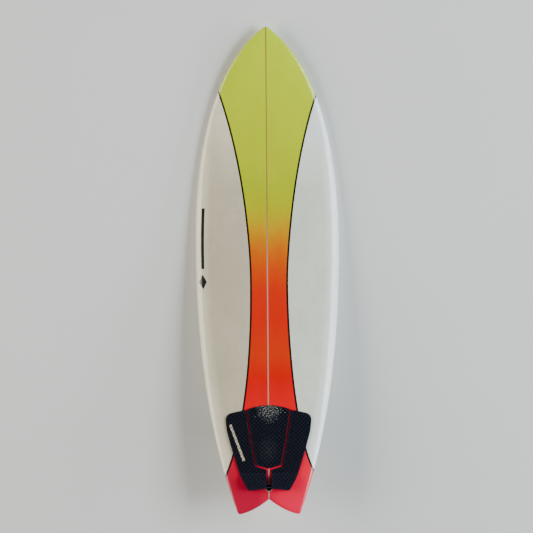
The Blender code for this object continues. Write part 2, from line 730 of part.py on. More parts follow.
def points_of(names):
    """Corner points of some pieces in the board's own axes."""
    bpy.context.view_layer.update()
    graph = bpy.context.evaluated_depsgraph_get()
    found = []
    for name in names:
        piece = bpy.data.objects[name].evaluated_get(graph)
        mesh = piece.to_mesh()
        co = np.empty(len(mesh.vertices) * 3, np.float32)
        mesh.vertices.foreach_get("co", co)
        world = np.array(piece.matrix_world)
        found.append(co.reshape(-1, 3) @ world[:3, :3].T + world[:3, 3])
        piece.to_mesh_clear()
    return np.vstack(found)


def stand_on_floor():
    """Pitches the board until its fins and its belly are equally low, then puts that at Z = 0
    with the origin under the middle of its box."""
    fins = points_of([f"fin_{pair}_{side}" for pair in FINS for side in SIDES])
    hull = points_of(["deck_laminate", "bottom_laminate"])

    def lowest(points, pitch):
        return (points[:, 2] * math.cos(pitch) - points[:, 0] * math.sin(pitch)).min()

    low, high = 0.0, math.radians(15)
    for _ in range(50):
        pitch = (low + high) / 2
        if lowest(hull, pitch) > lowest(fins, pitch):
            low = pitch
        else:
            high = pitch
    turn = Matrix.Rotation(pitch, 4, "Y")
    everything = points_of([piece.name for piece in bpy.data.collections["surfboard"].objects
                            if piece.type == "MESH"])
    turned_points = everything @ np.array(turn)[:3, :3].T
    lo, hi = turned_points.min(0), turned_points.max(0)
    shift = Matrix.Translation((-(lo[0] + hi[0]) / 2, -(lo[1] + hi[1]) / 2, -lo[2]))
    bpy.data.objects["board"].matrix_world = shift @ turn
    bpy.context.view_layer.update()


def main():
    clear_scene()
    collection("surfboard")
    collection("cutters", hidden=True)
    board = bpy.data.objects.new("board", None)
    bpy.data.collections["surfboard"].objects.link(board)
    make_cutters()
    make_laminates()
    make_core()
    make_pad()
    make_leash_plug()
    for pair in FINS:
        for side_name in SIDES:
            make_fin(pair, side_name)
    stand_on_floor()


main()
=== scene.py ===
"""The looks of the swallow-tail shortboard.

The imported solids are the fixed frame. Fine meshes stand in for the laminates, pad, leash plug,
fins, fin plugs and grub screws, and only the core keeps its solids. The meshes are drawn in the
board's own axes: +X from the tail tips to the nose, +Y to the left rail, +Z out of the deck.
"""

import json
from math import atan2, ceil, cos, pi, radians, sin, sqrt, tan

import bmesh
import bpy
import numpy as np
from mathutils import Matrix, Vector, geometry


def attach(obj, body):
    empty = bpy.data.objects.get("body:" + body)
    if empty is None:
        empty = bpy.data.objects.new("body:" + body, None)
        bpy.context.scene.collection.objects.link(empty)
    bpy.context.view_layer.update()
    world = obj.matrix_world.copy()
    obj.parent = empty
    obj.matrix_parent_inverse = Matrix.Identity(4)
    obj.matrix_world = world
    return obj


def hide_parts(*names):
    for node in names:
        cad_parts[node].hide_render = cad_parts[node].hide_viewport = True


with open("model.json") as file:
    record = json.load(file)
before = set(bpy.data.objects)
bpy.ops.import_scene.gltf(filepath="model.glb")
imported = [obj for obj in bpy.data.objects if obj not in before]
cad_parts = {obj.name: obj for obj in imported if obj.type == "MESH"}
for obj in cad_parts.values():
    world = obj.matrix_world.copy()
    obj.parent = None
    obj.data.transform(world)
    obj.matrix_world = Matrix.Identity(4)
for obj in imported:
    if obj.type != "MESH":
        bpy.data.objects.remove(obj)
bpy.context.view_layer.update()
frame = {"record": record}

MM = 0.001
TINY = 1e-7
SQRT2 = sqrt(2)

# The hull, as in the CAD.
LENGTH = 1727 * MM
WIDTH = 508.8 * MM
THICKNESS = 60 * MM
WIDE_POINT = 943 * MM
THICK_POINT = 870 * MM
LOW_POINT = 800 * MM
NOSE_ROCKER = 120 * MM
TAIL_ROCKER = 54 * MM
NOSE_THICKNESS = 11 * MM
TAIL_THICKNESS = 14 * MM
NOSE_TIP_RADIUS = 4.5 * MM
TAIL_TIP_RADIUS = 7 * MM
TAIL_HALF_WIDTH = 109.8 * MM
RAIL_APEX = 0.36
CONCAVE = 4 * MM
DECK_EDGE_ROUND = 16 * MM
BOTTOM_EDGE_ROUND = 5 * MM
CROTCH = 52 * MM
LAMINATE = 1.0 * MM
SNUG = 0.1 * MM  # the visual gap round what is set into the skins
THROUGH = 20 * MM  # how far a cutter reaches past what it cuts

# How finely the skins, the fins and the pad are divided.
FAN_STATIONS = 30
FAN_EASE = 20  # stations over which the rows settle after the fan
FAN_LENGTH = 100 * MM
BODY_STATIONS = 170
STATION_CROWDING = 0.12
DECK_ROWS = 44
BOTTOM_ROWS = 34
FIN_STATIONS = 44
FOIL_POINTS = 36
BULGE_STEPS = 40
CORNER_STEPS = 11
OUTLINE_STEP = 2.5 * MM
EDGE_RINGS = (0.13, 0.5, 1.0)  # as shares of the edge's rounding
UNDERSIDE_STEP = 9 * MM
UNDERSIDE_MARGIN = 3 * MM

# Heel and knee dents in the deck: how many, and the least and most of each measure.
DENTS = 110
DENT_X = (0.40, 1.62)
DENT_Y = (-0.23, 0.23)
DENT_RADIUS = (13, 30)  # mm
DENT_DEPTH = (0.10, 0.40)  # mm
DENT_MARGIN = 35 * MM

# The traction pad, as in the CAD but for its lift, rounded edges and grooves. A corner is x, y,
# its radius and the bulge of the side that follows, in mm. Side and kick are the left ones.
PAD_LIFT = 0.15 * MM
PAD_THICKNESS = 5 * MM
KICK_HEIGHT = 22 * MM
KICK_FRONT = 147 * MM
KICK_CREST = 104 * MM
EDGE_ROUND = 1.6 * MM
SIDE_CORNERS = [(91, 8, 1, 0), (84, 72, 5, 2.5), (146, 104.5, 0, 1.5), (296, 148.5, 0, 0.5),
                (354, 154, 24, 1), (370, 80.8, 2, -2.5), (170, 47.6, 4, 0), (157.5, 8, 1, 0)]
KICK_CORNERS = [(92.5, 9.5, 1, 0), (85.5, 70.5, 5, 2.5), (146, 102.5, 1, 0), (146, 9.5, 1, 0)]
CENTRE_CORNERS = [(162, 0, 3, 0), (174, 43, 3, 2.5), (372, 76, 2, 15), (372, -76, 2, 2.5),
                  (174, -43, 3, 0)]
PAD_GROOVES = dict(pitch=10.4 * MM, half_top=1.7 * MM, half_floor=0.6 * MM, depth=1.5 * MM,
                   border=3.0 * MM)
KICK_GROOVES = dict(pitch=10.4 * MM, half_top=1.1 * MM, half_floor=0.4 * MM, depth=0.6 * MM,
                    border=4.0 * MM)

# The wax on the pad's centre piece: crumbs, and dust as patches of (x, reach) in mm and strength.
CRUMBS = 150
CRUMBS_FRONT = 386 * MM
CRUMBS_SPREAD = 26 * MM
DUST = ((388, 66, 0.95), (228, 52, 0.22))

# The leash plug, as in the CAD.
PLUG_AT = 94.5 * MM
CUP_RADIUS = 11.5 * MM
CUP_DEPTH = 15 * MM
CUP_CAVITY_RADIUS = 10 * MM
CUP_CAVITY_DEPTH = 12.5 * MM
COLLAR_RADIUS = 14 * MM
COLLAR_DEPTH = 3 * MM
BAR_RADIUS = 1.75 * MM
BAR_DEPTH = 4.5 * MM
GAP = 0.3 * MM

# The fins, as in the CAD.
FIN_PLUG_RADIUS = 13 * MM
FIN_PLUG_BODY_RADIUS = 11.8 * MM
FIN_PLUG_FLANGE = 2.5 * MM
FIN_PLUG_DEPTH = 15 * MM
SLOT_DEPTH = 12 * MM
SCREW_RADIUS = 2 * MM
SCREW_LENGTH = 7 * MM
SCREW_LEAN = radians(25)
SCREW_TIP_DEPTH = 8 * MM
SOCKET_RADIUS = 1.2 * MM
SOCKET_DEPTH = 3 * MM
TAB_LENGTH = 19.5 * MM
TAB_THICKNESS = 6.2 * MM
TAB_DEPTH = 11 * MM
FIN_CLEARANCE = 1.0 * MM
FINS = {
    "front": dict(along=335 * MM, out=165 * MM, toe=3.0, cant=6.5, base=112 * MM, depth=114 * MM,
                  thick=8.5 * MM, tabs=66 * MM, flat_inside=True),
    "rear": dict(along=187 * MM, out=122 * MM, toe=2.0, cant=4.0, base=98 * MM, depth=98 * MM,
                 thick=7.5 * MM, tabs=56 * MM, flat_inside=False),
}
SIDES = {"left": 1, "right": -1}

# The pinlines, as points (x, half width) of two Bezier curves each, in mm.
PINLINES = {
    "left": ([(1790, 315), (1437, 55), (817, 59), (835, 59)],
             [(835, 59), (759, 59), (302, 53), (79, 181)]),
    "right": ([(1479, 174), (1218, 85), (884, 70), (824, 70)],
              [(824, 70), (581, 70), (275, 100), (156, 158)]),
}
PINLINE_HALF_WIDTH = 3.3 * MM
STRINGER_HALF_WIDTH = 2.1 * MM

# The marks on the left rail: middle, half length, middle's distance from the rail, half width.
STRIPE = (980 * MM, 108 * MM, 24 * MM, 5.5 * MM)
DIAMOND = (826 * MM, 27 * MM, 23 * MM, 14 * MM)
LAP = 18 * MM  # how far the bottom's paint comes in from the rail
BAR_ENDS = ((190 * MM, 88 * MM), (318 * MM, 136 * MM))  # of the bar on the pad's left piece
BAR_HALF_WIDTH = 4.5 * MM
GLASS_WEAVE = 1.4 * MM
FIN_WEAVE = 2.2 * MM

# The camera.
LENS = 200.0
SENSOR = 36.0
FRAME_WIDTH = 1898 * MM  # what the square view spans at the board
AIM = (879.5 * MM, 3.1 * MM)
ROLL = radians(-0.42)

# The lights: place and size in metres, power in watts and colour.
COOL = (0.88, 0.97, 1.0)
WARM = (1.0, 0.95, 0.84)
LIGHTS = {
    "right_softbox": ((1.2, -8.85, 7.05), (6.6, 4.5), 1420, COOL),
    "left_softbox": ((1.2, 9.45, 5.85), (7.8, 4.5), 990, WARM),
    "right_strip": ((0.6, -10.8, 2.7), (9.6, 1.5), 680, COOL),
    "left_strip": ((0.6, 10.8, 2.7), (9.6, 1.5), 360, WARM),
}
SKY = [(0.0, (0.86, 0.88, 0.90)), (0.9, (0.16, 0.165, 0.17))]  # from the horizon up
SKY_STRENGTH = 0.4
FLOOR_HALF_SIZE = 15
FLOOR_DROP = 0.5 * MM


# ---- the hull's lines

def bezier(points, count):
    """Points along a Bezier curve of any degree."""
    t = np.linspace(0.0, 1.0, count)[:, None]
    level = [np.array(p, float) + 0.0 * t for p in points]
    while len(level) > 1:
        level = [(1 - t) * a + t * b for a, b in zip(level, level[1:])]
    return level[0]


OUTLINE = np.vstack([
    bezier([(0, TAIL_HALF_WIDTH), (308 * MM, 227.7 * MM), (674 * MM, WIDTH / 2),
            (WIDE_POINT, WIDTH / 2)], 400),
    bezier([(WIDE_POINT, WIDTH / 2), (1160 * MM, WIDTH / 2), (1557 * MM, 233.6 * MM),
            (LENGTH, NOSE_TIP_RADIUS)], 900)[1:],
])


def half_width(x, inset=0.0):
    """Half the board's width at x, rounded at the tips and drawn in by inset."""
    x = np.asarray(x, float)
    span = np.where(x > WIDE_POINT, LENGTH - WIDE_POINT, WIDE_POINT)
    reach = np.clip(x + inset * (x - WIDE_POINT) / span, 0, LENGTH)
    width = np.interp(reach, OUTLINE[:, 0], OUTLINE[:, 1])
    for from_end, radius in ((reach, TAIL_TIP_RADIUS), (LENGTH - reach, NOSE_TIP_RADIUS)):
        short = np.clip(1 - from_end / radius, 0, 1)
        width = width - radius * (1 - np.sqrt(1 - short**2))
    return width - inset


def tail_tip(inset):
    """Where the cut-out's edge meets the outline."""
    x = 1.3 * inset
    return x, float(half_width(x, inset))


def notch(y, inset=0.0):
    """How far forward the tail's cut-out reaches at y off the centreline."""
    tip_x, tip_y = tail_tip(inset)
    edge = bezier([(CROTCH + 1.35 * inset, 0), (9.7 * MM + 1.25 * inset, 54.2 * MM),
                   (tip_x, tip_y)], 300)
    return np.interp(y, edge[:, 1], edge[:, 0])


def rocker(x):
    """Height of the bottom along the centreline."""
    x = np.asarray(x, float)
    nose = np.clip((x - LOW_POINT) / (LENGTH - LOW_POINT), 0, None)
    tail = np.clip((LOW_POINT - x) / LOW_POINT, 0, None)
    return NOSE_ROCKER * nose**2.05 + TAIL_ROCKER * tail**2.2


def thickness(x):
    """Thickness along the centreline."""
    x = np.asarray(x, float)
    nose = np.clip((x - THICK_POINT) / (LENGTH - THICK_POINT), 0, 1)
    tail = np.clip((THICK_POINT - x) / THICK_POINT, 0, 1)
    return (THICKNESS - (THICKNESS - NOSE_THICKNESS) * nose**1.8
            - (THICKNESS - TAIL_THICKNESS) * tail**2.2)


def apex(x):
    """Height of the rail's widest line."""
    return rocker(x) + RAIL_APEX * thickness(x)


def fullness(x, y, inset, power, root, edge_round):
    """1 in the middle of the board, and 0 on its outline and on the cut-out's edge."""
    across = np.clip(y / np.maximum(half_width(x, inset), TINY), 0, 1)
    past = np.clip((x - notch(y, inset)) / edge_round, 0, 1)
    return (1 - across**power) ** root * np.sqrt(1 - (1 - past) ** 2)


def deck(x, y, inset=0.0):
    """Height of the domed deck."""
    crown = (1 - RAIL_APEX) * thickness(x) - inset
    return apex(x) + crown * fullness(x, np.abs(y), inset, 2.5, 0.555, DECK_EDGE_ROUND)


def bottom(x, y, inset=0.0):
    """Height of the bottom, with its concave."""
    y = np.abs(y)
    belly = RAIL_APEX * thickness(x) - inset
    across = np.clip(y / np.maximum(half_width(x, inset), TINY) / 0.8, 0, 1)
    along = np.clip(np.sin(pi * np.asarray(x) / LENGTH), 0, 1)
    hollow = CONCAVE * along**1.5 * (1 - across**2) ** 2
    full = fullness(x, y, inset, 14, 0.5, BOTTOM_EDGE_ROUND)
    return apex(x) - belly * full + hollow * full


def leash_place():
    """The leash plug's axes in the board's: its face on the deck, Z out of it."""
    slope = atan2(float(deck(PLUG_AT + MM, 0) - deck(PLUG_AT - MM, 0)), 2 * MM)
    return (Matrix.Translation((PLUG_AT, 0, float(deck(PLUG_AT, 0))))
            @ Matrix.Rotation(-slope, 4, "Y"))


def board_place():
    """The board's axes in the frame, worked out from where the leash cup's floor is."""
    mount = next(m for m in frame["record"]["mounts"] if m["name"] == "leash_cup_floor")
    cup = leash_place()
    up = Vector((cup[0][2], cup[1][2], cup[2][2]))
    axis = Vector(mount["axis"])
    pitch = atan2(axis.x, axis.z) - atan2(up.x, up.z)
    turn = Matrix.Rotation(pitch, 4, "Y")
    floor = cup @ Vector((-4 * MM, 0, -CUP_CAVITY_DEPTH))
    return Matrix.Translation(Vector(mount["pos_m"]) - turn @ floor) @ turn


BOARD = board_place()


# ---- helpers

def linked(name, data):
    """A new object in the scene."""
    made = bpy.data.objects.new(name, data)
    bpy.context.scene.collection.objects.link(made)
    return made


def coordinates(mesh):
    """The mesh's vertices as an array of points."""
    co = np.empty(len(mesh.vertices) * 3, np.float32)
    mesh.vertices.foreach_get("co", co)
    return co.reshape(-1, 3).astype(float)


def store(mesh, name, values, kind="FLOAT", key="value"):
    """Keeps a value for each vertex, for the materials to read."""
    layer = mesh.attributes.new(name, kind, "POINT")
    layer.data.foreach_set(key, values.astype(np.float32).ravel())


def piece(name, mesh, surface, body, slot, *nodes):
    """A mesh drawn in the board's axes, put in the frame, riding on a body, standing for nodes.

    Its vertices keep their place on the board as an attribute, for the materials.
    """
    store(mesh, "board", coordinates(mesh), "FLOAT_VECTOR", "vector")
    mesh.transform(BOARD)
    mesh.materials.clear()
    mesh.materials.append(surface.material)
    made = linked(name, mesh)
    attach(made, body)
    if nodes:
        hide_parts(*nodes)
    return made


def smoothed(mesh, sharp):
    """The mesh, smooth except along edges sharper than so many degrees."""
    mesh.shade_smooth()
    mesh.set_sharp_from_angle(angle=radians(sharp))
    return mesh


def finish_mesh(bm, name, sharp, merge=2e-6):
    """A closed mesh from bm, smooth except along edges sharper than so many degrees."""
    bmesh.ops.remove_doubles(bm, verts=bm.verts, dist=merge)
    bmesh.ops.dissolve_degenerate(bm, edges=bm.edges, dist=merge / 2)
    bmesh.ops.recalc_face_normals(bm, faces=bm.faces)
    mesh = bpy.data.meshes.new(name)
    bm.to_mesh(mesh)
    bm.free()
    return smoothed(mesh, sharp)


def turned(profile, name, matrix=None, segments=72):
    """A closed ring or solid spun round Z from (radius, height) points."""
    bm = bmesh.new()
    rows = []
    for radius, height in profile:
        if radius < TINY:
            rows.append([bm.verts.new((0, 0, height))] * segments)
            continue
        angles = [2 * pi * i / segments for i in range(segments)]
        rows.append([bm.verts.new((radius * cos(a), radius * sin(a), height))
                     for a in angles])
    is_ring = profile[0][0] > TINY
    join_rings(bm, rows + rows[:1] if is_ring else rows)
    mesh = finish_mesh(bm, name, 30)
    mesh.transform(matrix or Matrix())
    return mesh


def eased(profile, radius):
    """The profile with its corners rounded."""
    points = [np.array(p, float) for p in profile]
    made = []
    for i, corner in enumerate(points):
        before, after = points[i - 1], points[(i + 1) % len(points)]
        if corner[0] < TINY:
            made.append(tuple(corner))
            continue
        into, out = before - corner, after - corner
        near = min(radius, np.linalg.norm(into) / 2.2, np.linalg.norm(out) / 2.2)
        start = corner + into / np.linalg.norm(into) * near
        end = corner + out / np.linalg.norm(out) * near
        made += [tuple(p) for p in bezier([start, corner, end], 5)]
    return made


def rod(radius, low, high, matrix=None, ease=0.0):
    """A cylinder along Z."""
    profile = [(0, high), (radius, high), (radius, low), (0, low)]
    return turned(eased(profile, ease) if ease else profile, "rod", matrix, segments=48)


def block(size, centre, ease=0.0):
    """A box with its edges rounded."""
    bm = bmesh.new()
    bmesh.ops.create_cube(bm, size=1)
    bmesh.ops.scale(bm, vec=size, verts=bm.verts)
    bmesh.ops.translate(bm, vec=centre, verts=bm.verts)
    if ease:
        bmesh.ops.bevel(bm, geom=bm.edges[:], offset=ease, segments=3, profile=0.5,
                        affect="EDGES")
    return finish_mesh(bm, "block", 35)


def combined(mesh, others, operation="DIFFERENCE", sharp=35):
    """The mesh with the other closed meshes taken out of it, or joined to it."""
    target = linked("target", mesh)
    tools = [linked("tool", other) for other in others]
    for tool in tools:
        step = target.modifiers.new("step", "BOOLEAN")
        step.operation = operation
        step.object = tool
    bpy.context.view_layer.update()
    graph = bpy.context.evaluated_depsgraph_get()
    result = bpy.data.meshes.new_from_object(target.evaluated_get(graph))
    for thing in (target, *tools):
        bpy.data.objects.remove(thing)
    return smoothed(result, sharp)


def add_face(bm, *corners):
    """A face of the corners that differ in place."""
    kept = []
    for corner in corners:
        if all((corner.co - other.co).length > TINY for other in kept):
            kept.append(corner)
    if len(kept) > 2:
        bm.faces.new(kept)


def join_rings(bm, rings):
    """Faces from each ring of points to the next."""
    for first, second in zip(rings, rings[1:]):
        for i in range(len(first)):
            j = (i + 1) % len(first)
            add_face(bm, first[i], first[j], second[j], second[i])


# ---- materials

class Nodes:
    """A node tree, and short ways to wire it."""

    def __init__(self, owner):
        owner.use_nodes = True
        self.tree = owner.node_tree

    def node(self, kind, inputs=(), **settings):
        """A new node with its settings, and values or links on the sockets in inputs."""
        made = self.tree.nodes.new("ShaderNode" + kind)
        for key, value in settings.items():
            setattr(made, key, value)
        for key, value in dict(inputs).items():
            self.wire(value, made.inputs[key])
        return made

    def wire(self, value, socket):
        """Links an output to the socket, or sets the socket's own value."""
        if isinstance(value, bpy.types.NodeSocket):
            self.tree.links.new(value, socket)
        else:
            socket.default_value = value

    def ramp(self, value, stops):
        """Colours at positions from 0 to 1."""
        made = self.node("ValToRGB", {0: value})
        elements = made.color_ramp.elements
        elements[0].position, elements[0].color = stops[0][0], (*stops[0][1], 1)
        elements[1].position, elements[1].color = stops[-1][0], (*stops[-1][1], 1)
        for position, color in stops[1:-1]:
            elements.new(position).color = (*color, 1)
        return made.outputs[0]


class Surface(Nodes):
    """A Principled material."""

    def __init__(self, name, roughness=0.5, metallic=0.0, on_board=True, **sockets):
        self.material = bpy.data.materials.new(name)
        super().__init__(self.material)
        self.shader = self.tree.nodes["Principled BSDF"]
        for socket, value in dict(sockets, Roughness=roughness, Metallic=metallic).items():
            self.shader.inputs[socket.replace("_", " ")].default_value = value
        if on_board:
            self.place = self.node("Attribute", attribute_name="board").outputs["Vector"]
        else:
            self.place = self.node("TexCoord").outputs["Object"]

    def math(self, operation, a, b=0.0):
        return self.node("Math", {0: a, 1: b}, operation=operation).outputs[0]

    def times(self, a, b):
        return self.math("MULTIPLY", a, b)

    def minus(self, a, b):
        return self.math("SUBTRACT", a, b)

    def axes(self):
        """X, Y and Z of a point."""
        return self.node("SeparateXYZ", {0: self.place}).outputs

    def attribute(self, name):
        return self.node("Attribute", attribute_name=name).outputs["Fac"]

    def stretched(self, stretch):
        return self.node("Mapping", {"Vector": self.place, "Scale": stretch}).outputs[0]

    def noise(self, scale, detail=2.0, roughness=0.5, stretch=(1, 1, 1)):
        """Noise with features of about 1 / scale metres, squeezed along the axes by stretch."""
        inputs = {"Vector": self.stretched(stretch), "Scale": scale, "Detail": detail,
                  "Roughness": roughness}
        return self.node("TexNoise", inputs).outputs["Fac"]

    def cells(self, scale):
        """Distance from the middles of cells of about 1 / scale metres."""
        inputs = {"Vector": self.stretched((1, 1, 1)), "Scale": scale}
        return self.node("TexVoronoi", inputs).outputs["Distance"]

    def weave(self, a, b, pitch):
        """The crossing threads of a cloth, from -1 to 1."""
        waves = [self.math("SINE", self.times(axis, 2 * pi / pitch)) for axis in (a, b)]
        return self.times(*waves)

    def span(self, value, low, high, to_low=0.0, to_high=1.0):
        """Value from low to high, spread over to_low to to_high, and held at the ends."""
        inputs = {"Value": value, "From Min": low, "From Max": high, "To Min": to_low,
                  "To Max": to_high}
        return self.node("MapRange", inputs).outputs["Result"]

    def within(self, value, middle, reach, edge=0.15 * MM):
        """1 where value is within reach of middle, else 0, with a soft edge."""
        off = self.math("ABSOLUTE", self.minus(value, middle))
        return self.span(off, reach - edge, reach + edge, 1, 0)

    def mix(self, share, a, b, blend="MIX"):
        """Colour a with a share of colour b."""
        a, b = [(*color, 1) if isinstance(color, tuple) else color for color in (a, b)]
        return self.node("Mix", {0: share, 6: a, 7: b}, data_type="RGBA",
                         blend_type=blend).outputs[2]

    def shaded(self, color, value):
        """The colour made lighter or darker by a factor."""
        grey = self.node("CombineColor", {0: value, 1: value, 2: value}).outputs[0]
        return self.mix(1.0, color, grey, "MULTIPLY")

    def color(self, value):
        self.wire(value, self.shader.inputs["Base Color"])

    def roughness(self, value):
        self.wire(value, self.shader.inputs["Roughness"])

    def bump(self, height, depth, strength):
        """Adds a bump on top of the ones before it."""
        made = self.node("Bump", {"Strength": strength, "Distance": depth, "Height": height})
        normal = self.shader.inputs["Normal"]
        if normal.is_linked:
            self.wire(normal.links[0].from_socket, made.inputs["Normal"])
        self.wire(made.outputs[0], normal)


# The sprayed colour along the board, from the tail tips (0) to the nose (1).
SPRAY = [
    (0.00, (0.92, 0.002, 0.060)),
    (0.18, (0.88, 0.001, 0.018)),
    (0.24, (0.78, 0.000, 0.003)),
    (0.28, (0.69, 0.001, 0.000)),
    (0.33, (0.70, 0.030, 0.000)),
    (0.40, (0.71, 0.012, 0.000)),
    (0.46, (0.72, 0.022, 0.000)),
    (0.50, (0.71, 0.064, 0.000)),
    (0.54, (0.68, 0.135, 0.000)),
    (0.58, (0.64, 0.290, 0.000)),
    (0.60, (0.58, 0.390, 0.000)),
    (0.63, (0.49, 0.490, 0.000)),
    (0.67, (0.46, 0.530, 0.000)),
    (0.75, (0.52, 0.610, 0.000)),
    (0.85, (0.56, 0.670, 0.002)),
    (1.00, (0.59, 0.750, 0.004)),
]
# Painted shade, laid over the left side of the tail.
LEFT_TAIL_PAINTED_SHADE = (0.02, 0.004, 0.02)
BLACK_LINE = (0.006, 0.006, 0.008)
# The foam's whites: the left one is darker as painted shade, and the rail ones are paler as painted
# light.
LEFT_WHITE_PAINTED_SHADE = (0.58, 0.51, 0.37)
LEFT_RAIL_WHITE_PAINTED_LIGHT = (0.88, 0.80, 0.60)
RIGHT_WHITE = (0.74, 0.75, 0.66)
RIGHT_RAIL_WHITE_PAINTED_LIGHT = (0.94, 0.97, 0.95)
PAD_COLORS = {"pad_": (0.0042, 0.0052, 0.0120), "kick": (0.0048, 0.0056, 0.0135)}
WOOD_LIGHT = (0.42, 0.22, 0.10)
WOOD_DARK = (0.25, 0.11, 0.045)
WOOD_VEILED = (0.45, 0.36, 0.27)
FOAM_SPECK = (0.045, 0.05, 0.07)
WAX_DUST = (0.42, 0.42, 0.42)
GROOVE_SHADE = (0.001, 0.001, 0.0015)
CREAM = (0.55, 0.50, 0.38)


def sprayed(s, x, y):
    """The colour that runs from red to lime, with the mist of the spray gun at the change.

    The left side of the tail is darkened with painted shade.
    """
    drift = s.minus(s.noise(24, 4, 0.65, (0.35, 1.6, 1)), 0.5)
    along = s.math("ADD", s.math("DIVIDE", x, LENGTH), s.times(drift, 0.045))
    spray = s.ramp(along, SPRAY)
    mist = s.span(s.noise(700, 2, 0.7), 0.3, 0.7, 0.93, 1.05)
    clouds = s.span(s.noise(14, 3, 0.5, (0.5, 1, 1)), 0.3, 0.7, 0.96, 1.03)
    # Painted shade over the left side of the tail, strongest at the tail's end.
    second = s.times(s.span(x, 120 * MM, 330 * MM, 1, 0), s.span(y, -40 * MM, 40 * MM))
    spray = s.mix(s.times(second, 0.45), spray, LEFT_TAIL_PAINTED_SHADE)
    return s.shaded(s.shaded(spray, mist), clouds)


def whites_with_painted_light(s, x, y, from_rail):
    """The bare glassed foam, darker and warmer on the left as painted shade, paler at the rails and
    towards the nose as painted light, with faint mottling.
    """
    # Painted shade: the left side's white is darker than the right's.
    left = s.span(y, -20 * MM, 20 * MM)
    # Painted light: the whites grow paler towards the rails and towards the nose.
    rail = s.span(from_rail, 8 * MM, 50 * MM, 1, 0)
    rail = s.math("MAXIMUM", rail, s.span(x, 1150 * MM, 1420 * MM, 0, 0.9))
    white = s.mix(left, s.mix(rail, RIGHT_WHITE, RIGHT_RAIL_WHITE_PAINTED_LIGHT),
                  s.mix(rail, LEFT_WHITE_PAINTED_SHADE, LEFT_RAIL_WHITE_PAINTED_LIGHT))
    mottle = s.span(s.noise(9, 4, 0.6, (0.6, 1, 1)), 0.35, 0.65, 0.93, 1.04)
    blotch = s.span(s.noise(38, 2, 0.5), 0.55, 0.75, 1.0, 0.93)
    return s.shaded(s.shaded(white, mottle), blotch)


def rail_mark(s, x, y, from_rail):
    """A plain stripe and a diamond along the left rail."""
    at_x, half_length, in_from_rail, half = STRIPE
    stripe = s.times(s.within(x, at_x, half_length, 1 * MM), s.within(from_rail, in_from_rail, half))
    at_x, half_length, in_from_rail, half = DIAMOND
    off_x = s.math("DIVIDE", s.math("ABSOLUTE", s.minus(x, at_x)), half_length)
    off_y = s.math("DIVIDE", s.math("ABSOLUTE", s.minus(from_rail, in_from_rail)), half)
    diamond = s.span(s.math("ADD", off_x, off_y), 0.97, 1.03, 1, 0)
    return s.times(s.span(y, 0, 1 * MM), s.math("MAXIMUM", stripe, diamond))


def hull_paint(name, underside):
    """Sprayed colour between two pinlines, white outside them, under a gloss coat."""
    s = Surface(name, roughness=0.3, Specular_IOR_Level=0.12, Coat_Weight=0.75,
                Coat_Roughness=0.08, Coat_IOR=1.5)
    x, y, _ = s.axes()
    inside, from_rail = s.attribute("inside_band"), s.attribute("from_rail")
    band = s.span(inside, -0.15 * MM, 0.15 * MM)
    line = s.within(inside, 0, PINLINE_HALF_WIDTH)
    white = whites_with_painted_light(s, x, y, from_rail)
    color = s.mix(band, white, sprayed(s, x, y))
    if underside:
        near_rail = s.span(from_rail, LAP - 0.2 * MM, LAP + 0.2 * MM, 1, 0)
        color = s.mix(near_rail, white, color)
        lap = s.times(s.within(from_rail, LAP, 1.2 * MM), band)
        line = s.math("MAXIMUM", s.times(line, near_rail), lap)
    else:
        line = s.math("MAXIMUM", line, rail_mark(s, x, y, from_rail))
    grain = s.span(s.noise(900, 3, 0.6, (0.02, 1, 1)), 0.35, 0.65)
    veil = s.span(x, 0.52 * LENGTH, 0.62 * LENGTH, 0.85, 0.0)
    wood = s.mix(veil, s.mix(grain, WOOD_LIGHT, WOOD_DARK), WOOD_VEILED)
    on_stringer = s.within(y, 0, STRINGER_HALF_WIDTH, 0.3 * MM)
    color = s.mix(s.times(on_stringer, 0.9), color, wood)
    s.color(s.mix(line, color, BLACK_LINE))
    s.bump(s.weave(x, y, GLASS_WEAVE), 0.02 * MM, 0.12)
    s.bump(s.noise(45, 3, 0.5), 0.5 * MM, 0.10)
    s.roughness(s.span(s.noise(60, 3, 0.6), 0.35, 0.70, 0.29, 0.34))
    return s


def wax_dust(s, x, y):
    """Where specks of wax lie, thick in the middle of each patch."""
    specks = s.span(s.noise(640, 2, 0.7), 0.575, 0.61)
    dust = 0.0
    for at_x, reach, strength in DUST:
        from_x = s.math("DIVIDE", s.minus(x, at_x * MM), reach * MM)
        from_y = s.math("DIVIDE", y, 0.75 * reach * MM)
        away = s.math("ADD", s.math("POWER", from_x, 2), s.math("POWER", from_y, 2))
        dust = s.math("MAXIMUM", dust, s.span(away, 0, 1, strength, 0))
    return s.times(dust, specks)


def pad_foam(name, base, crumbs):
    """Fine-celled foam, each diamond lighter on its crown as painted light and darker towards and in
    its grooves as painted shade, dusted with wax on the centre piece.
    """
    s = Surface(name, roughness=0.85, Specular_IOR_Level=0.08)
    x, y, _ = s.axes()
    tint = s.span(s.noise(300, 3, 0.6), 0.3, 0.7, 0.4, 2.0)
    # Painted light and shade: each diamond is lighter on its crown and darker near the grooves.
    half = PAD_GROOVES["pitch"] / 2
    down = s.math("PINGPONG", s.math("DIVIDE", s.math("ADD", x, y), SQRT2), half)
    up = s.math("PINGPONG", s.math("DIVIDE", s.minus(x, y), SQRT2), half)
    crown = s.span(s.math("MINIMUM", down, up), 0.25 * half, 0.85 * half, 0.7, 1.5)
    speckle = s.span(s.noise(900, 1, 0.5), 0.56, 0.68, 0, 0.6)
    color = s.mix(speckle, s.shaded(s.shaded(base, tint), crown), FOAM_SPECK)
    if crumbs:
        color = s.mix(wax_dust(s, x, y), color, WAX_DUST)
    # Painted shade in the grooves.
    s.color(s.mix(s.times(s.attribute("groove"), 0.9), color, GROOVE_SHADE))
    s.bump(s.cells(1100), 0.15 * MM, 0.45)
    s.bump(s.noise(220, 3, 0.6), 0.25 * MM, 0.3)
    return s


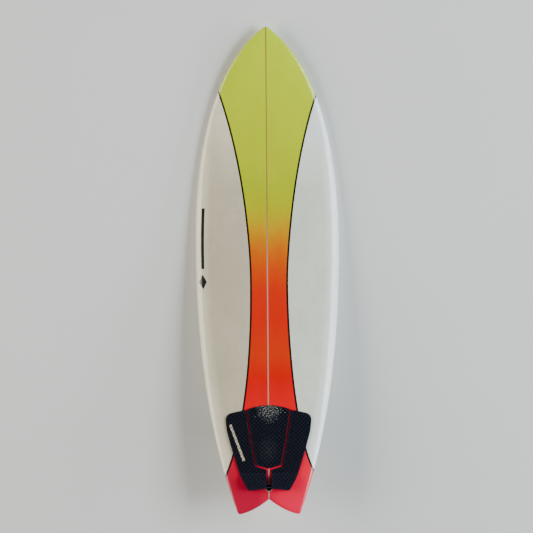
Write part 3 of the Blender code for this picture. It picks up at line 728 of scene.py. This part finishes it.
def pad_bar(s):
    """A slim cream bar, printed along the side piece's outer edge."""
    x, y, _ = s.axes()
    start, end = [Vector(point) for point in BAR_ENDS]
    run = (end - start).normalized()
    middle = (start + end) / 2
    from_x, from_y = s.minus(x, middle.x), s.minus(y, middle.y)
    along = s.math("ADD", s.times(from_x, run.x), s.times(from_y, run.y))
    across = s.minus(s.times(from_y, run.x), s.times(from_x, run.y))
    bar = s.times(s.within(along, 0, (end - start).length / 2, 0.3 * MM),
                  s.within(across, 0, BAR_HALF_WIDTH))
    raised = s.span(s.attribute("groove"), 0.3, 0.9, 1, 0.35)
    worn = s.span(s.noise(300, 2, 0.6), 0.30, 0.5, 0.75, 1.0)
    old = s.shader.inputs["Base Color"].links[0].from_socket
    s.color(s.mix(s.times(s.times(bar, raised), worn), old, CREAM))


def gloss_composite():
    """Dark fibreglass: a faint plain weave under gloss, with fine sanding marks."""
    s = Surface("fin_gloss", roughness=0.28, Coat_Weight=0.6, Coat_Roughness=0.08)
    x, _, z = s.axes()
    weave = s.span(s.weave(x, z, FIN_WEAVE), -0.6, 0.6)
    cloud = s.noise(30, 3, 0.6)
    color = s.mix(weave, (0.012, 0.013, 0.016), (0.030, 0.032, 0.037))
    s.color(s.mix(s.span(cloud, 0.5, 0.75, 0, 0.3), color, (0.06, 0.062, 0.068)))
    s.bump(weave, 0.02 * MM, 0.25)
    s.roughness(s.span(s.noise(240, 2, 0.6, (1, 1, 0.08)), 0.55, 0.75, 0.24, 0.45))
    return s


def moulded(name, color, roughness):
    """Moulded plastic or cast resin, a little uneven and scuffed."""
    s = Surface(name, roughness=roughness)
    shade = s.span(s.noise(320, 3, 0.6), 0.3, 0.7, 0.82, 1.1)
    scuffs = s.span(s.noise(500, 2, 0.7, (0.15, 1, 1)), 0.62, 0.72, 0, 0.35)
    s.color(s.mix(scuffs, s.shaded(color, shade), tuple(0.5 * c + 0.12 for c in color)))
    s.roughness(s.span(s.noise(260, 2, 0.6), 0.3, 0.7, roughness * 0.85, roughness * 1.3))
    s.bump(s.noise(2400, 2, 0.5), 0.05 * MM, 0.3)
    return s


def steel(name):
    """Stainless steel with fine drawing lines."""
    s = Surface(name, roughness=0.28, metallic=1.0)
    lines = s.noise(2600, 2, 0.6, (1, 0.05, 1))
    s.color(s.mix(s.span(lines, 0.3, 0.7), (0.50, 0.50, 0.51), (0.68, 0.68, 0.69)))
    s.roughness(s.span(lines, 0.3, 0.7, 0.2, 0.4))
    s.bump(lines, 0.02 * MM, 0.3)
    return s


def core_foam():
    """Machined polyurethane foam with open cells."""
    s = Surface("core_foam", roughness=0.9, on_board=False)
    s.color(s.mix(s.span(s.noise(80, 4, 0.7), 0.3, 0.7), (0.84, 0.81, 0.74), (0.93, 0.91, 0.86)))
    s.bump(s.cells(900), 0.3 * MM, 0.5)
    return s


def core_wood():
    """Basswood strip with straight grain."""
    s = Surface("core_wood", roughness=0.7, on_board=False)
    grain = s.noise(420, 4, 0.65, (0.03, 1, 1))
    s.color(s.mix(s.span(grain, 0.35, 0.65), WOOD_LIGHT, WOOD_DARK))
    s.bump(grain, 0.1 * MM, 0.4)
    return s


# ---- hull skins

def dents():
    """Heel and knee dents pressed into the deck: x, y, radius and depth of each."""
    random = np.random.default_rng(11)
    made = []
    while len(made) < DENTS:
        x, y = random.uniform(*DENT_X), random.uniform(*DENT_Y)
        if abs(y) < half_width(x) - DENT_MARGIN:
            made.append((x, y, random.uniform(*DENT_RADIUS) * MM, random.uniform(*DENT_DEPTH) * MM))
    return made


def worn_deck(x, y, inset):
    """Height of the deck with its dents."""
    sunk = np.zeros(np.shape(x))
    for at_x, at_y, radius, depth in PRESSES:
        away = np.clip(((x - at_x) ** 2 + (y - at_y) ** 2) / radius**2, 0, 1)
        sunk = np.maximum(sunk, depth * (1 - away) ** 2)
    return deck(x, y, inset) - sunk


PRESSES = dents()


def station_edges(inset):
    """Matching points on the inner and outer edge of one half, from tail tip to nose."""
    tip_x, tip_y = tail_tip(inset)
    fan = np.linspace(0, 1, FAN_STATIONS)
    notch_y = tip_y * (1 - fan)
    in_x = notch(notch_y, inset)
    out_x = tip_x + (FAN_LENGTH - tip_x) * fan**1.6
    nose = LENGTH - inset
    even = np.linspace(0, 1, BODY_STATIONS + 1)[1:]
    body = even - STATION_CROWDING * np.sin(2 * pi * even)
    in_x = np.append(in_x, in_x[-1] + (nose - in_x[-1]) * body)
    out_x = np.append(out_x, FAN_LENGTH + (nose - FAN_LENGTH) * body)
    in_y = np.append(notch_y, np.zeros(BODY_STATIONS))
    out_y = np.maximum(half_width(out_x, inset), 0)
    in_y[0] = out_y[0] = tip_y
    out_y[-1] = 0
    return np.column_stack([in_x, in_y]), np.column_stack([out_x, out_y])


def row_shares(rows, station):
    """How far across each row lies: close together at the rail, and on the fan at both edges."""
    even = np.linspace(0, 1, rows + 1)
    fan = np.clip((FAN_STATIONS + FAN_EASE - station) / FAN_EASE, 0, 1)
    return (1 - fan) * np.sin(even * pi / 2) + fan * (1 - np.cos(even * pi)) / 2


def half_layer(height, rows, inset, side):
    """Grid of points, stations by rows, over one half of the deck or bottom."""
    inner_edge, outer_edge = station_edges(inset)
    last = len(inner_edge) - 1
    grid = []
    for k, (a, b) in enumerate(zip(inner_edge, outer_edge)):
        points = a + (b - a) * row_shares(rows, k)[:, None]
        z = height(points[:, 0], side * points[:, 1], inset)
        z[-1] = apex(b[0])
        if k < FAN_STATIONS:
            z[0] = apex(a[0])
        if k == last:
            z[:] = apex(a[0])
        grid.append(np.column_stack([points[:, 0], side * points[:, 1], z]))
    return np.array(grid)


def skin_mesh(name, height, rows):
    """A laminate as a thin closed shell: its outer and inner surface, joined along its rim."""
    bm = bmesh.new()
    for side in (1, -1):
        layers = [half_layer(height, rows, inset, side) for inset in (0.0, LAMINATE)]
        outer, inner = [[[bm.verts.new(p) for p in line] for line in layer] for layer in layers]
        for k in range(len(outer) - 1):
            for i in range(rows):
                for layer in (outer, inner):
                    add_face(bm, layer[k][i], layer[k + 1][i], layer[k + 1][i + 1], layer[k][i + 1])
            add_face(bm, outer[k][rows], outer[k + 1][rows], inner[k + 1][rows], inner[k][rows])
            if k < FAN_STATIONS - 1:
                add_face(bm, outer[k][0], outer[k + 1][0], inner[k + 1][0], inner[k][0])
    return finish_mesh(bm, name, 60)


def pinline(side_name):
    """A pinline as points (x, half width), carried on past its ends."""
    curve = np.vstack([bezier(part, 300) for part in PINLINES[side_name]]) * MM
    curve = curve[np.argsort(curve[:, 0])]
    ends = []
    for end, inner in ((curve[0], curve[12]), (curve[-1], curve[-13])):
        ends.append(end + (end - inner) / np.linalg.norm(end - inner) * 0.4)
    return np.vstack([ends[0], curve, ends[1]])


def measure_paint(mesh):
    """Stores each vertex's distance inside the band of colour, and from the outline."""
    x, y, _ = coordinates(mesh).T
    inside = np.empty(len(x))
    for side_name, side in SIDES.items():
        here = y * side >= 0
        edge = pinline(side_name)
        at = np.interp(x, edge[:, 0], edge[:, 1])
        along = edge[:, 0] + 1e-9 * np.arange(len(edge))  # so that no two are the same
        slope = np.interp(x, edge[:, 0], np.gradient(edge[:, 1], along))
        inside[here] = ((at - np.abs(y)) / np.sqrt(1 + slope**2))[here]
    steep = (half_width(x + 2 * MM) - half_width(x - 2 * MM)) / (4 * MM)
    rail = (half_width(x) - np.abs(y)) / np.sqrt(1 + steep**2)
    cut_out = (x - notch(np.abs(y))) * 0.9
    store(mesh, "inside_band", inside)
    store(mesh, "from_rail", np.minimum(rail, cut_out))


def make_hull():
    """Both skins, with the holes for the leash plug and the fin plugs through them."""
    collar = rod(COLLAR_RADIUS + SNUG, -THROUGH, THROUGH, leash_place())
    plugs = [rod(FIN_PLUG_RADIUS + SNUG, -THROUGH, THROUGH, plug_place(pair, side_name, sign))
             for pair in FINS for side_name in SIDES for sign in (1, -1)]
    skins = (("deck", worn_deck, DECK_ROWS, [collar], False),
             ("bottom", bottom, BOTTOM_ROWS, plugs, True))
    for name, height, rows, holes, underside in skins:
        mesh = combined(skin_mesh(f"{name}_skin", height, rows), holes, sharp=60)
        measure_paint(mesh)
        piece(f"{name}_skin", mesh, hull_paint(f"{name}_paint", underside), "hull",
              "gloss_laminate", f"{name}_laminate")


def finish_core():
    """The core keeps its solids, with its own materials."""
    foam, wood = core_foam(), core_wood()
    for name, surface in (("foam_left", foam), ("foam_right", foam), ("stringer", wood)):
        node = bpy.data.objects[name]
        node.data.materials.clear()
        node.data.materials.append(surface.material)


# ---- traction pad

def pad_base(x, y):
    """Height of the pad's underside."""
    return deck(x, y) + PAD_LIFT


def pad_top(x, y):
    """Height of the pad's top."""
    return pad_base(x, y) + PAD_THICKNESS


def kick_base(x, y):
    """Height of the kick's underside."""
    return pad_top(x, y) + 0.1 * MM


def kick_top(x, y):
    """The kick climbs from a thin front edge to its crest, then levels off to the rear."""
    climb = np.clip((KICK_FRONT - x) / (KICK_FRONT - KICK_CREST), 0, 1)
    ease = climb * climb * (3 - 2 * climb)
    return kick_base(x, y) + 1 * MM + KICK_HEIGHT * ease


def rounded(corners, mirror=1):
    """A closed outline from corners in mm. Clockwise seen from +Z, a bulge is outward."""
    corners = [(x * MM, mirror * y * MM, radius * MM, mirror * bulge * MM)
               for x, y, radius, bulge in corners]
    points = []
    sides = []
    for (x, y, radius, bulge), (x2, y2, radius2, _) in zip(corners, corners[1:] + corners[:1]):
        start, end = Vector((x, y)), Vector((x2, y2))
        run = end - start
        outward = Vector((-run.y, run.x)).normalized()
        middle = (start + end) / 2 + outward * 2 * bulge
        steps = BULGE_STEPS if bulge else 2
        side = bezier([start, middle, end], 400)
        lengths = np.linspace(radius / run.length, 1 - radius2 / run.length, steps)
        sides.append([side[round(399 * t)] for t in lengths])
    for i, side in enumerate(sides):
        points += list(side)
        corner = corners[(i + 1) % len(corners)]
        if corner[2]:
            turn = bezier([side[-1], corner[:2], sides[(i + 1) % len(sides)][0]], CORNER_STEPS)
            points += list(turn[1:-1])
    return np.array(points)


def evenly(outline, step):
    """The outline's points with more between them, none further apart than step."""
    points = []
    for a, b in zip(outline, np.roll(outline, -1, 0)):
        count = max(1, ceil(np.linalg.norm(b - a) / step))
        points += [a + (b - a) * i / count for i in range(count)]
    return np.array(points)


def depth_inside(points, outline):
    """How far inside a closed outline each point lies; less than 0 outside."""
    a, b = outline, np.roll(outline, -1, 0)
    edge = b - a
    away = points[:, None] - a[None]
    share = np.clip((away * edge).sum(-1) / np.maximum((edge**2).sum(-1), 1e-18), 0, 1)
    near = np.linalg.norm(away - share[..., None] * edge, axis=-1).min(1)
    x, y = points[:, :1], points[:, 1:]
    rise = np.where(edge[:, 1] == 0, 1e-18, edge[:, 1])
    spans = (a[:, 1] > y) != (b[:, 1] > y)
    crossed = spans & (x < edge[:, 0] * (y - a[:, 1]) / rise + a[:, 0])
    return np.where(crossed.sum(1) % 2 == 1, near, -near)


def inner_ring(outline, inset):
    """The outline drawn in by inset, without the points that come too close to its corners."""
    ahead = np.roll(outline, -1, 0) - np.roll(outline, 1, 0)
    inward = np.column_stack([-ahead[:, 1], ahead[:, 0]])
    inward /= np.linalg.norm(inward, axis=1)[:, None]
    nearby = outline + inward * 0.1 * MM
    if np.median(depth_inside(nearby, outline)) < 0:
        inward = -inward
    ring = outline + inward * inset
    return ring[depth_inside(ring, outline) > 0.97 * inset]


def groove_depth(x, y, grooves):
    """How deep the diagonal grooves are at a point."""
    deepest = 0.0
    for run in ((x + y) / SQRT2, (x - y) / SQRT2):
        pitch = grooves["pitch"]
        off = np.abs((run + pitch / 2) % pitch - pitch / 2)
        slope = grooves["half_top"] - grooves["half_floor"]
        deepest = np.maximum(deepest, np.clip((grooves["half_top"] - off) / slope, 0, 1))
    return grooves["depth"] * deepest


def groove_lattice(outline, grooves):
    """Points along both edges and both sides of the floor of every groove."""
    pitch = grooves["pitch"]
    low, high = outline.min(0), outline.max(0)
    reach = ceil(np.abs([low, high]).sum() / pitch) + 1
    offsets = (-grooves["half_top"], -grooves["half_floor"], grooves["half_floor"],
               grooves["half_top"])
    lines = np.array([k * pitch + offset for k in range(-reach, reach) for offset in offsets])
    p, q = [axis.ravel() for axis in np.meshgrid(lines, lines)]
    points = np.column_stack([(p + q) / SQRT2, (p - q) / SQRT2])
    boxed = ((points > low) & (points < high)).all(1)
    points = points[boxed]
    return points[depth_inside(points, outline) > grooves["border"] + 0.5 * MM]


def fill(bm, outline, inner, height):
    """Fills the outline with faces through its own and the inner points, at a height."""
    points = [Vector(p) for p in np.vstack([outline, inner])]
    loop = list(range(len(outline)))
    flat, _, faces, *_ = geometry.delaunay_2d_cdt(points, [], [loop], 1, 1e-6)
    x, y = np.array(flat).T
    made = [bm.verts.new(p) for p in zip(x, y, height(x, y))]
    for face in faces:
        bm.faces.new([made[i] for i in face])


def cushion_mesh(name, shape, base, top, grooves):
    """A flat foam piece with a rounded, grooved top, straight sides and a fitted underside."""
    outline = evenly(shape, OUTLINE_STEP)

    def face(x, y):
        inside = np.maximum(depth_inside(np.column_stack([x, y]), outline), 0)
        room = top(x, y) - base(x, y)
        past = np.clip(inside / EDGE_ROUND, 0, 1)
        rounding = np.minimum(EDGE_ROUND, 0.6 * room) * (1 - np.sqrt(1 - (1 - past) ** 2))
        cut = groove_depth(x, y, grooves) * (inside > grooves["border"] + 0.2 * MM)
        return top(x, y) - rounding - np.minimum(cut, 0.5 * room)

    rings = [inner_ring(outline, share * EDGE_ROUND) for share in EDGE_RINGS]
    rings.append(inner_ring(outline, grooves["border"]))
    bm = bmesh.new()
    fill(bm, outline, np.vstack([*rings, groove_lattice(outline, grooves)]), face)
    rim = [e for e in bm.edges if len(e.link_faces) == 1]
    lowered = bmesh.ops.extrude_edge_only(bm, edges=rim)["geom"]
    lowered = [v for v in lowered if isinstance(v, bmesh.types.BMVert)]
    at = np.array([v.co for v in lowered])
    for vertex, height in zip(lowered, base(at[:, 0], at[:, 1])):
        vertex.co.z = height
    spread = np.arange(-0.4, 0.4, UNDERSIDE_STEP)
    coarse = np.array([(a, b) for a in spread for b in spread])
    fill(bm, outline, coarse[depth_inside(coarse, outline) > UNDERSIDE_MARGIN], base)
    mesh = finish_mesh(bm, name, 50, merge=4e-6)
    store_grooves(mesh, outline, top, grooves)
    return mesh


def store_grooves(mesh, outline, top, grooves):
    """Marks the points on the floors of the grooves, for the material."""
    x, y, z = coordinates(mesh).T
    sunk = np.clip((top(x, y) - z) / grooves["depth"], 0, 1)
    within = depth_inside(np.column_stack([x, y]), outline) > grooves["border"]
    store(mesh, "groove", sunk * within)


def make_pad():
    """The pad's five pieces of foam and the wax on them."""
    shapes = {"pad_center": (rounded(CENTRE_CORNERS), pad_base, pad_top, PAD_GROOVES)}
    for side_name, side in SIDES.items():
        pad, kick = rounded(SIDE_CORNERS, side), rounded(KICK_CORNERS, side)
        shapes[f"pad_{side_name}"] = (pad, pad_base, pad_top, PAD_GROOVES)
        shapes[f"kick_{side_name}"] = (kick, kick_base, kick_top, KICK_GROOVES)
    for name, (shape, base, top, grooves) in shapes.items():
        surface = pad_foam(f"{name}_foam", PAD_COLORS[name[:4]], name == "pad_center")
        if name == "pad_left":
            pad_bar(surface)
        mesh = cushion_mesh(name, shape, base, top, grooves)
        cushion = piece(f"{name}_cushion", mesh, surface, "hull", "pad_foam", name)
    make_wax()


def make_wax():
    """Crumbs of surf wax caught on the front of the pad's centre piece."""
    random = np.random.default_rng(5)
    outline = rounded(CENTRE_CORNERS)
    bm = bmesh.new()
    count = 0
    while count < CRUMBS:
        at = (CRUMBS_FRONT - abs(random.normal(0, CRUMBS_SPREAD)), random.normal(0, CRUMBS_SPREAD))
        if depth_inside(np.array([at]), outline)[0] < 3 * MM:
            continue
        size = random.uniform(0.4, 1.1) * MM
        height = float(pad_top(*at) - groove_depth(*at, PAD_GROOVES)) + 0.25 * size
        squash = Matrix.Diagonal((size * random.uniform(0.8, 1.6), size, 0.5 * size, 1))
        place = Matrix.Translation((*at, height)) @ Matrix.Rotation(random.uniform(0, 6), 4, "Z")
        blob = bmesh.ops.create_icosphere(bm, subdivisions=1, radius=1, matrix=place @ squash)
        for vertex in blob["verts"]:
            vertex.co += Vector(random.normal(0, 0.08, 3)) * size
        count += 1
    s = Surface("wax", roughness=0.6, Subsurface_Weight=0.1)
    s.color(s.mix(s.noise(300, 2), (0.45, 0.43, 0.38), (0.62, 0.60, 0.55)))
    s.bump(s.noise(1500, 2), 0.1 * MM, 0.4)
    piece("wax_crumbs", finish_mesh(bm, "wax_crumbs", 50, merge=TINY), s, "hull", "resin_white")


# ---- leash plug

def make_leash_plug():
    """A cup with a steel bar across it, in a resin collar, flush with the deck."""
    place = leash_place()
    across = place @ Matrix.Translation((0, 0, -BAR_DEPTH)) @ Matrix.Rotation(pi / 2, 4, "X")
    cup = turned([
        (0, -CUP_CAVITY_DEPTH),
        *eased([(CUP_CAVITY_RADIUS, -CUP_CAVITY_DEPTH), (CUP_CAVITY_RADIUS, 0), (CUP_RADIUS, 0),
                (CUP_RADIUS, -CUP_DEPTH)], 0.4 * MM),
        (0, -CUP_DEPTH),
    ], "leash_cup", place)
    cup = combined(cup, [rod(BAR_RADIUS + GAP, -THROUGH, THROUGH, across)])
    piece("leash_cup_fine", cup, moulded("cup_plastic", (0.012, 0.012, 0.014), 0.38), "hull",
          "plug_black", "leash_cup")
    inner = CUP_RADIUS + SNUG
    collar = turned(eased([(inner, -COLLAR_DEPTH), (inner, 0), (COLLAR_RADIUS, 0),
                           (COLLAR_RADIUS, -COLLAR_DEPTH)], 0.35 * MM), "leash_collar", place)
    piece("leash_collar_fine", collar, moulded("collar_resin", (0.46, 0.37, 0.28), 0.3), "hull",
          "resin_white", "leash_collar")
    reach = CUP_RADIUS - GAP
    bar = rod(BAR_RADIUS, -reach, reach, across, ease=0.3 * MM)
    piece("leash_bar_fine", bar, steel("bar_steel"), "hull", "steel", "leash_bar")


# ---- fins

def foil(count):
    """Shares of the chord from the leading edge back, and half thicknesses at them."""
    x = (1 - np.cos(np.linspace(0, pi, count))) / 2
    half = 5 * (0.2969 * np.sqrt(x) - 0.126 * x - 0.3516 * x**2 + 0.2843 * x**3 - 0.1036 * x**4)
    return x, np.maximum(half, 0.045 * np.sin(pi * np.clip(x, 0.02, 0.98)))


def fin_edges(base, depth):
    """Leading and trailing edge of a raked fin, as x at a height."""
    half = base / 2
    lead = bezier([(half, 0), (0.62 * half, 0.62 * depth), (-0.15 * half, 0.99 * depth),
                   (-1.25 * half, depth)], 400)
    trail = bezier([(-half, 0), (-0.62 * half, 0.36 * depth), (-0.90 * half, 0.80 * depth),
                    (-1.25 * half, depth)], 400)
    return lead, trail


def blade_mesh(name, at, outward):
    """The foiled blade of a fin, from its base up, with its inside flat or foiled too."""
    base, depth = at["base"], at["depth"]
    lead, trail = fin_edges(base, depth)
    share, half = foil(FOIL_POINTS)
    bm = bmesh.new()
    rings = []
    for height in depth * np.sin(np.linspace(0, pi / 2, FIN_STATIONS)):
        front = np.interp(height, lead[:, 1], lead[:, 0])
        back = np.interp(height, trail[:, 1], trail[:, 0])
        chord = front - back
        x = front - chord * share
        bulge = half * at["thick"] * chord / base
        if at["flat_inside"]:
            outside = -TAB_THICKNESS / 2 + 2 * bulge
            inside = -TAB_THICKNESS / 2 + 0.1 * bulge
        else:
            outside, inside = bulge, -bulge
        ring = [(a, outward * b, height) for a, b in zip(x, outside)]
        ring += [(a, outward * b, height) for a, b in zip(x[-2:0:-1], inside[-2:0:-1])]
        rings.append([bm.verts.new(p) for p in ring])
    join_rings(bm, rings)
    bm.faces.new(rings[0])
    bmesh.ops.translate(bm, vec=(0, 0, FIN_CLEARANCE), verts=bm.verts)
    return finish_mesh(bm, name, 50)


def fin_frame(at, side):
    """Axes at a fin's centre on the bottom: X forward along its base, Z out along its depth."""
    x, y = at["along"], at["out"]
    rise = float(bottom(x + MM, y) - bottom(x - MM, y)) / (2 * MM)
    z_axis = Vector((rise, side * tan(radians(at["cant"])), -1)).normalized()
    toe = radians(at["toe"])
    forward = Vector((cos(toe), -side * sin(toe), 0))
    x_axis = (forward - forward.dot(z_axis) * z_axis).normalized()
    y_axis = z_axis.cross(x_axis)
    turn = Matrix((x_axis, y_axis, z_axis)).transposed().to_4x4()
    return Matrix.Translation((x, side * y, float(bottom(x, y)))) @ turn


def plug_place(pair, side_name, sign):
    """Axes at the middle of a fin plug's face."""
    at = FINS[pair]
    return fin_frame(at, SIDES[side_name]) @ Matrix.Translation((sign * at["tabs"] / 2, 0, 0))


def make_fin(pair, side_name, surfaces):
    """One fin with its two plugs and two grub screws."""
    at, side = FINS[pair], SIDES[side_name]
    label = f"{pair}_{side_name}"
    outward = -side  # this frame's Y points to the right rail
    tab_top = FIN_CLEARANCE + 1.2 * MM
    tabs = [block((TAB_LENGTH, TAB_THICKNESS, tab_top + TAB_DEPTH),
                  (sign * at["tabs"] / 2, 0, (tab_top - TAB_DEPTH) / 2), ease=0.5 * MM)
            for sign in (1, -1)]
    fin = combined(blade_mesh(f"fin_{label}", at, outward), tabs, "UNION", 40)
    fin.transform(fin_frame(at, side))
    piece(f"fin_{label}_fine", fin, surfaces["fin"], f"fin_{label}", "fin_composite",
          f"fin_{label}")
    for place, sign in (("fore", 1), ("aft", -1)):
        make_fin_plug(f"{label}_{place}", plug_place(pair, side_name, sign), outward, surfaces)


def flush_with_bottom(mesh, place):
    """Slides the points on the mesh's face along its Z onto the board's bottom."""
    face = [v for v in mesh.vertices if v.co.z > -0.2 * MM]
    at = np.array([place @ Vector((v.co.x, v.co.y, 0)) for v in face])
    up = np.array(place.to_3x3() @ Vector((0, 0, 1)))
    rise = np.zeros(len(face))
    for _ in range(4):
        here = at + rise[:, None] * up
        rise += (bottom(here[:, 0], here[:, 1]) - here[:, 2]) / up[2]
    for vertex, distance in zip(face, rise):
        vertex.co.z += distance


def make_fin_plug(label, place, outward, surfaces):
    """A round plug let into the bottom, with a slot for the fin's tab and a slanted screw."""
    plug = turned([
        *[(radius * MM, 0) for radius in (0, 3, 6, 9, 11.5)],
        (FIN_PLUG_RADIUS - 0.3 * MM, 0), (FIN_PLUG_RADIUS, -0.15 * MM),
        (FIN_PLUG_RADIUS, -FIN_PLUG_FLANGE), (FIN_PLUG_BODY_RADIUS, -FIN_PLUG_FLANGE),
        (FIN_PLUG_BODY_RADIUS, -FIN_PLUG_DEPTH), (0, -FIN_PLUG_DEPTH),
    ], "fin_plug")
    flush_with_bottom(plug, place)
    tip_out = TAB_THICKNESS / 2 + GAP + SCREW_RADIUS * cos(SCREW_LEAN)
    lean = Matrix.Rotation(-outward * SCREW_LEAN, 4, "X")
    seat = Matrix.Translation((0, outward * tip_out, -SCREW_TIP_DEPTH)) @ lean
    slot = block((TAB_LENGTH + 2 * GAP, TAB_THICKNESS + 2 * GAP, SLOT_DEPTH + THROUGH),
                 (0, 0, THROUGH / 2 - SLOT_DEPTH / 2))
    hole = rod(SCREW_RADIUS + GAP, -0.5 * MM, THROUGH, seat)
    plug = combined(plug, [slot, hole])
    plug.transform(place)
    piece(f"fin_plug_{label}_fine", plug, surfaces["plug"], "hull", "plug_grey",
          f"fin_plug_{label}")
    screw = rod(SCREW_RADIUS, 0, SCREW_LENGTH, ease=0.3 * MM)
    socket = turned([(0, THROUGH), (SOCKET_RADIUS, THROUGH),
                     (SOCKET_RADIUS, SCREW_LENGTH - SOCKET_DEPTH),
                     (0, SCREW_LENGTH - SOCKET_DEPTH)], "socket", segments=6)
    screw = combined(screw, [socket])
    screw.transform(place @ seat)
    piece(f"grub_screw_{label}_fine", screw, surfaces["screw"], f"screw_{label}", "steel",
          f"grub_screw_{label}")


def make_fins():
    """The four fins, each with its plugs and screws."""
    surfaces = {
        "fin": gloss_composite(),
        "plug": moulded("plug_plastic", (0.42, 0.43, 0.44), 0.45),
        "screw": steel("screw_steel"),
    }
    for pair in FINS:
        for side_name in SIDES:
            make_fin(pair, side_name, surfaces)


# ---- camera, light, floor

def make_camera():
    """A camera that looks straight down on the deck, with the nose to the top."""
    data = bpy.data.cameras.new("camera")
    data.lens = LENS
    data.sensor_width = SENSOR
    data.clip_end = 100
    camera = linked("camera", data)
    distance = FRAME_WIDTH * LENS / SENSOR
    look = Matrix(((0, 1, 0), (-1, 0, 0), (0, 0, 1))).to_4x4()
    target = (*AIM, float(deck(AIM[0], 0)) - THICKNESS / 2)
    camera.matrix_world = (BOARD @ Matrix.Translation(target) @ look
                           @ Matrix.Rotation(ROLL, 4, "Z") @ Matrix.Translation((0, 0, distance)))
    bpy.context.scene.camera = camera


def softbox(name, place, size, power, color):
    """A rectangular light aimed straight across at the board's length."""
    data = bpy.data.lights.new(name, "AREA")
    data.shape = "RECTANGLE"
    data.size, data.size_y = size
    data.energy = power
    data.color = color
    light = linked(name, data)
    light.location = place
    across = Vector((0, -place[1], -place[2]))
    light.rotation_euler = across.to_track_quat("-Z", "Y").to_euler()


def make_light():
    """Soft lights on both sides, and a studio that is paler near the floor."""
    for name, (place, size, power, color) in LIGHTS.items():
        softbox(name, place, size, power, color)
    world = bpy.data.worlds.new("studio")
    bpy.context.scene.world = world
    sky = Nodes(world)
    direction = sky.node("TexCoord").outputs["Generated"]
    up = sky.node("SeparateXYZ", {0: direction}).outputs["Z"]
    background = sky.tree.nodes["Background"]
    sky.wire(sky.ramp(up, SKY), background.inputs["Color"])
    background.inputs["Strength"].default_value = SKY_STRENGTH


def make_floor():
    """A plain pale floor."""
    bm = bmesh.new()
    bmesh.ops.create_grid(bm, x_segments=1, y_segments=1, size=FLOOR_HALF_SIZE)
    mesh = bpy.data.meshes.new("floor")
    bm.to_mesh(mesh)
    bm.free()
    s = Surface("floor_paint", roughness=0.85, on_board=False)
    s.color(s.mix(s.noise(1.5, 2), (0.76, 0.76, 0.75), (0.80, 0.80, 0.79)))
    mesh.materials.append(s.material)
    floor = linked("floor", mesh)
    floor.location.z = -FLOOR_DROP


make_camera()
make_light()
make_floor()
make_hull()
finish_core()
make_pad()
make_leash_plug()
make_fins()
